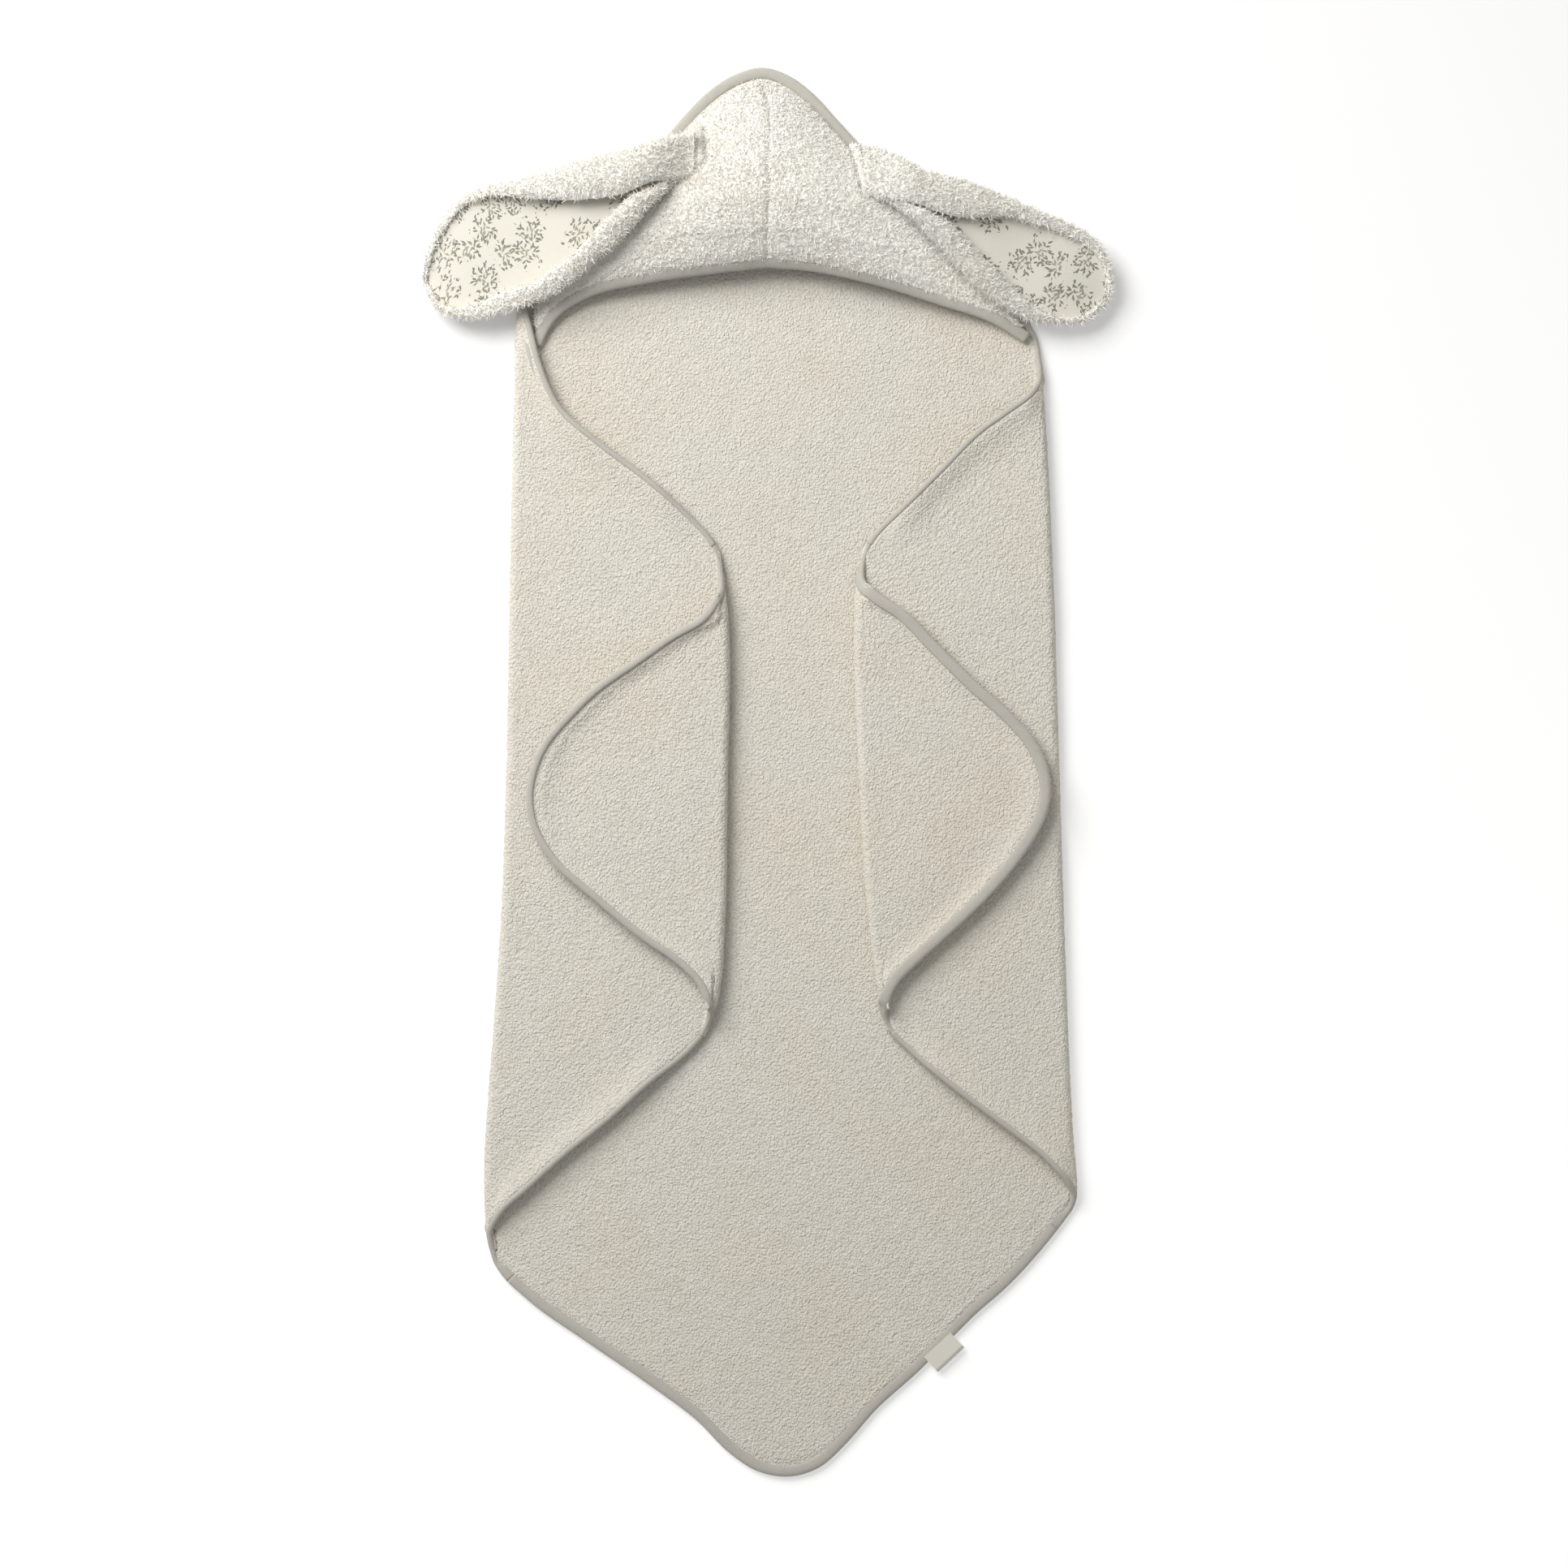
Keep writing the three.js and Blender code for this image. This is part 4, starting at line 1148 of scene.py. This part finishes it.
def terry_strip(name, line, width, lift, node_name):
    """A narrow strip of the hood's cloth along a line, as a seam's allowance or a pleat."""
    line = np.asarray(line, float)
    across = unit(np.cross(np.gradient(line, axis=0), (0.0, 0.0, 1.0)))
    t = np.linspace(-1, 1, 9)
    mid = line[:, None] + across[:, None] * (t * width / 2)[None, :, None]
    mid[..., 2] += lift * (1 - t**2)[None, :]
    ends = np.sin(np.linspace(0, math.pi, len(line))) ** 0.4
    mid[..., 2] -= (1 - ends)[:, None] * lift
    if normals(mid)[..., 2].mean() < 0:
        mid = mid[:, ::-1]
    piece = shell(name, mid, 0.9, 0.5, 0.12, 71, None, 1)
    finish_piece(piece, hood_terry, "hood_terry", node_name)
    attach(piece, "towel_centre")
    return piece


seam_line = hood_grids["left"][0].copy()
seam_line[:, 2] -= 0.6
terry_strip("hood_seam_cloth", seam_line[3:-5], 2.6, 0.5, "hood_centre_seam")

front_mid = np.concatenate([hood_grids["left"][:0:-1], hood_grids["right"]])
front_path = edge_path(front_mid, False, normals(front_mid)[..., 2].mean() < 0)
piece = tape("hood_front_tape", tidy_path(*front_path, soften=8))
finish_piece(piece, ribbed_tape, "binding_tape", "hood_front_binding")
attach(piece, "towel_centre")

# ------------------------------------------------------------------ ears


def ear_lines(name):
    """The ear's four lines and its shares from root to tip, sampled along its length."""
    rows = np.array(EARS[name], float)
    reach = length_along((rows[:, 0] + rows[:, 3]) / 2)
    t = np.linspace(0, reach[-1], EAR_ROWS)
    lines = [np.stack([np.interp(t, reach, rows[:, k, i]) for i in (0, 1)], -1) for k in range(4)]
    soften_lines(lines, 14)
    return lines, t / t[-1]


def ear_section(name, columns):
    """The ear's middle surface; columns gives each row's places across the rolled section."""
    (top, top_in, low_in, low), share = ear_lines(name)
    root, tip = EAR_FLOOR[name]
    floor = tip + (root - tip) * (1 - share**1.25)
    outer = EAR_OUTER * 0.9 + 1.0
    up = unit(top - low)
    top, low = top - up * outer, low + up * outer
    top_width = np.linalg.norm(top - top_in, axis=1)
    low_width = np.linalg.norm(low - low_in, axis=1)
    roll = EAR_ROLL[0] + (EAR_ROLL[1] - EAR_ROLL[0]) * ramp(0.25, 0.85, share)
    roll *= 0.2 + 0.8 * ramp(0, 0.2, share)
    floor = floor - ROOT_SINK * (1 - ramp(0, 0.17, share))
    h_top = np.minimum(roll, 3.0 + 0.75 * top_width)
    h_low = np.minimum(roll * 0.8, 3.0 + 0.75 * low_width)
    chord = np.linalg.norm(top - low, axis=1)
    h_top, h_low = np.minimum(h_top, chord * 0.4), np.minimum(h_low, chord * 0.4)

    def at(plan, z):
        return np.concatenate([plan, (floor + z)[:, None]], axis=1)

    def rim(edge, inwards, height):
        """The three places of a rolled edge's outside, from over it to under it."""
        steps = ((0.12, 0.78), (0, 0.45), (0.2, 0.1))
        return [at(edge + inwards * (k * height)[:, None], height * h) for k, h in steps]

    def crown(edge, edge_in, height):
        """Over a rolled edge, from its inner lip to its top."""
        return [at(edge_in, height * 0.80), at((edge + edge_in) / 2, height)]

    flat = 0 * roll
    stops = [
        *crown(low, low_in, h_low), *rim(low, up, h_low),
        at(low + up * 0.7 * h_low[:, None], flat),
        at((low + top) / 2, 0.8 * np.sin(share * 17)),
        at(top - up * 0.7 * h_top[:, None], flat),
        *rim(top, -up, h_top)[::-1], *crown(top, top_in, h_top)[::-1],
    ]
    stops = np.stack(stops, 1)
    slope = np.gradient(stops, axis=1)
    i = np.clip(columns.astype(int), 0, len(stops[0]) - 2)
    s = (columns - i)[..., None]
    row = np.arange(len(stops))[:, None]
    mid = (
        stops[row, i] * (1 + 2 * s) * (1 - s) ** 2 + slope[row, i] * s * (1 - s) ** 2
        + stops[row, i + 1] * s * s * (3 - 2 * s) + slope[row, i + 1] * s * s * (s - 1)
    )
    return under_eye(mid), share


def spread(steps):
    """Places across the section, closer where the cloth turns."""
    first, second, third = (np.linspace(a, b, steps) for a, b in ((0, 5), (5, 7), (7, 12)))
    return np.concatenate([first, second[1:], third[1:]])


def lay_flat(mid):
    """Each point's place on the cloth laid flat, along and across its middle row."""
    centre = LINING_COLUMNS // 2
    across = length_along(mid.swapaxes(0, 1)).T
    along = length_along(mid[:, centre])[:, None]
    return np.stack(np.broadcast_arrays(along, across - across[:, centre, None], 0.0), -1)


for name, side in sides.items():
    hinge, mirrored = EAR_HINGE[name], side.out > 0

    columns = np.broadcast_to(spread(30), (EAR_ROWS, 88))
    mid, share = ear_section(name, columns)
    mid[..., 2] += 0.5 * waves(mid[..., 0], mid[..., 1], 38, 81)
    free = np.minimum(columns, EAR_STOPS - columns)
    thin = (1 - 0.35 * ramp(0.6, 1, share))[:, None]
    soft = np.sqrt(np.clip(1 - (1 - free / 0.6) ** 2, 0.02, 1)) * thin
    soft = np.where(free > 0.6, thin, soft)
    outer, inner = EAR_OUTER * soft, EAR_INNER * (0.4 + 0.6 * soft)
    if mirrored:
        mid, outer = mid[:, ::-1], outer[:, ::-1]
    fade = soft / soft.max()
    ear = shell(f"{name}_ear_terry", mid, outer, inner, EAR_RELIEF, 85 + side.out, fade, 1)
    finish_piece(ear, hood_terry, "hood_terry", f"{name}_ear_back")
    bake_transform(ear)
    pile = grow_pile(ear, EAR_PILE, 91 + side.out)
    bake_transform(pile)

    inset = (0.55 + 3.9 * ramp(0.35, 0.8, share))[:, None]
    across = np.linspace(0, 1, LINING_COLUMNS)
    mid = ear_section(name, inset + (EAR_STOPS - 2 * inset) * across)[0][LINING_ROWS]
    if mirrored:
        mid = mid[:, ::-1]
    mid = mid - normals(mid) * (EAR_INNER + LINING_CLOTH / 2 + LINING_GAP)
    lining = shell(f"{name}_ear_lining_cloth", mid, LINING_CLOTH / 2, LINING_CLOTH / 2)
    layer = lining.data.attributes.new("flat", "FLOAT_VECTOR", "POINT")
    layer.data.foreach_set("vector", np.tile(lay_flat(mid).astype(np.float32).ravel(), 2))
    finish_piece(lining, sprig_cotton, "ear_lining", f"{name}_ear_lining")
    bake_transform(lining)

    (a, b), (c, d) = HOOD_GROOVES[:2] if side.out < 0 else HOOD_GROOVES[2:]
    line = np.linspace((np.array(a) + c) / 2, (np.array(b) + d) / 2, 26)
    heights = [hood_height(hood_grids.values(), x, y) + HOOD_CLOTH / 2 for x, y in line]
    line = np.concatenate([line, np.array(heights)[:, None]], axis=1)
    tuck = terry_strip(f"{name}_ear_pleat", line, 8.5, 4.2, f"{name}_ear_tuck")
    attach(grow_pile(tuck, TUCK_PILE, 95 + side.out), "towel_centre")

# ------------------------------------------------------------------ label

LABEL_AT = (136.4, -447.9)
LABEL_SIZE = (28, 16)
LABEL_TURN = math.radians(43)


def label_cloth():
    along = np.array([math.cos(LABEL_TURN), math.sin(LABEL_TURN)])
    inward = np.array([-along[1], along[0]])
    t = np.linspace(-0.5, 0.5, 30)[:, None] * LABEL_SIZE[0]
    w = np.linspace(-0.5, 0.5, 22)[None, :] * LABEL_SIZE[1]
    over = np.clip(-w - LABEL_SIZE[1] / 2 + 2.6, 0, None)
    height = CLOTH + 1.1 - 0.35 * over**2 + 0.25 * np.cos(t / 5) + 0 * w
    plan = LABEL_AT + t[..., None] * along + w[..., None] * inward
    return np.concatenate([plan + 0 * height[..., None], height[..., None]], axis=-1)


piece = shell("woven_label_cloth", label_cloth(), 0.4, 0.4)
finish_piece(piece, label_cotton, "woven_label", "woven_label")
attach(piece, "towel_centre")
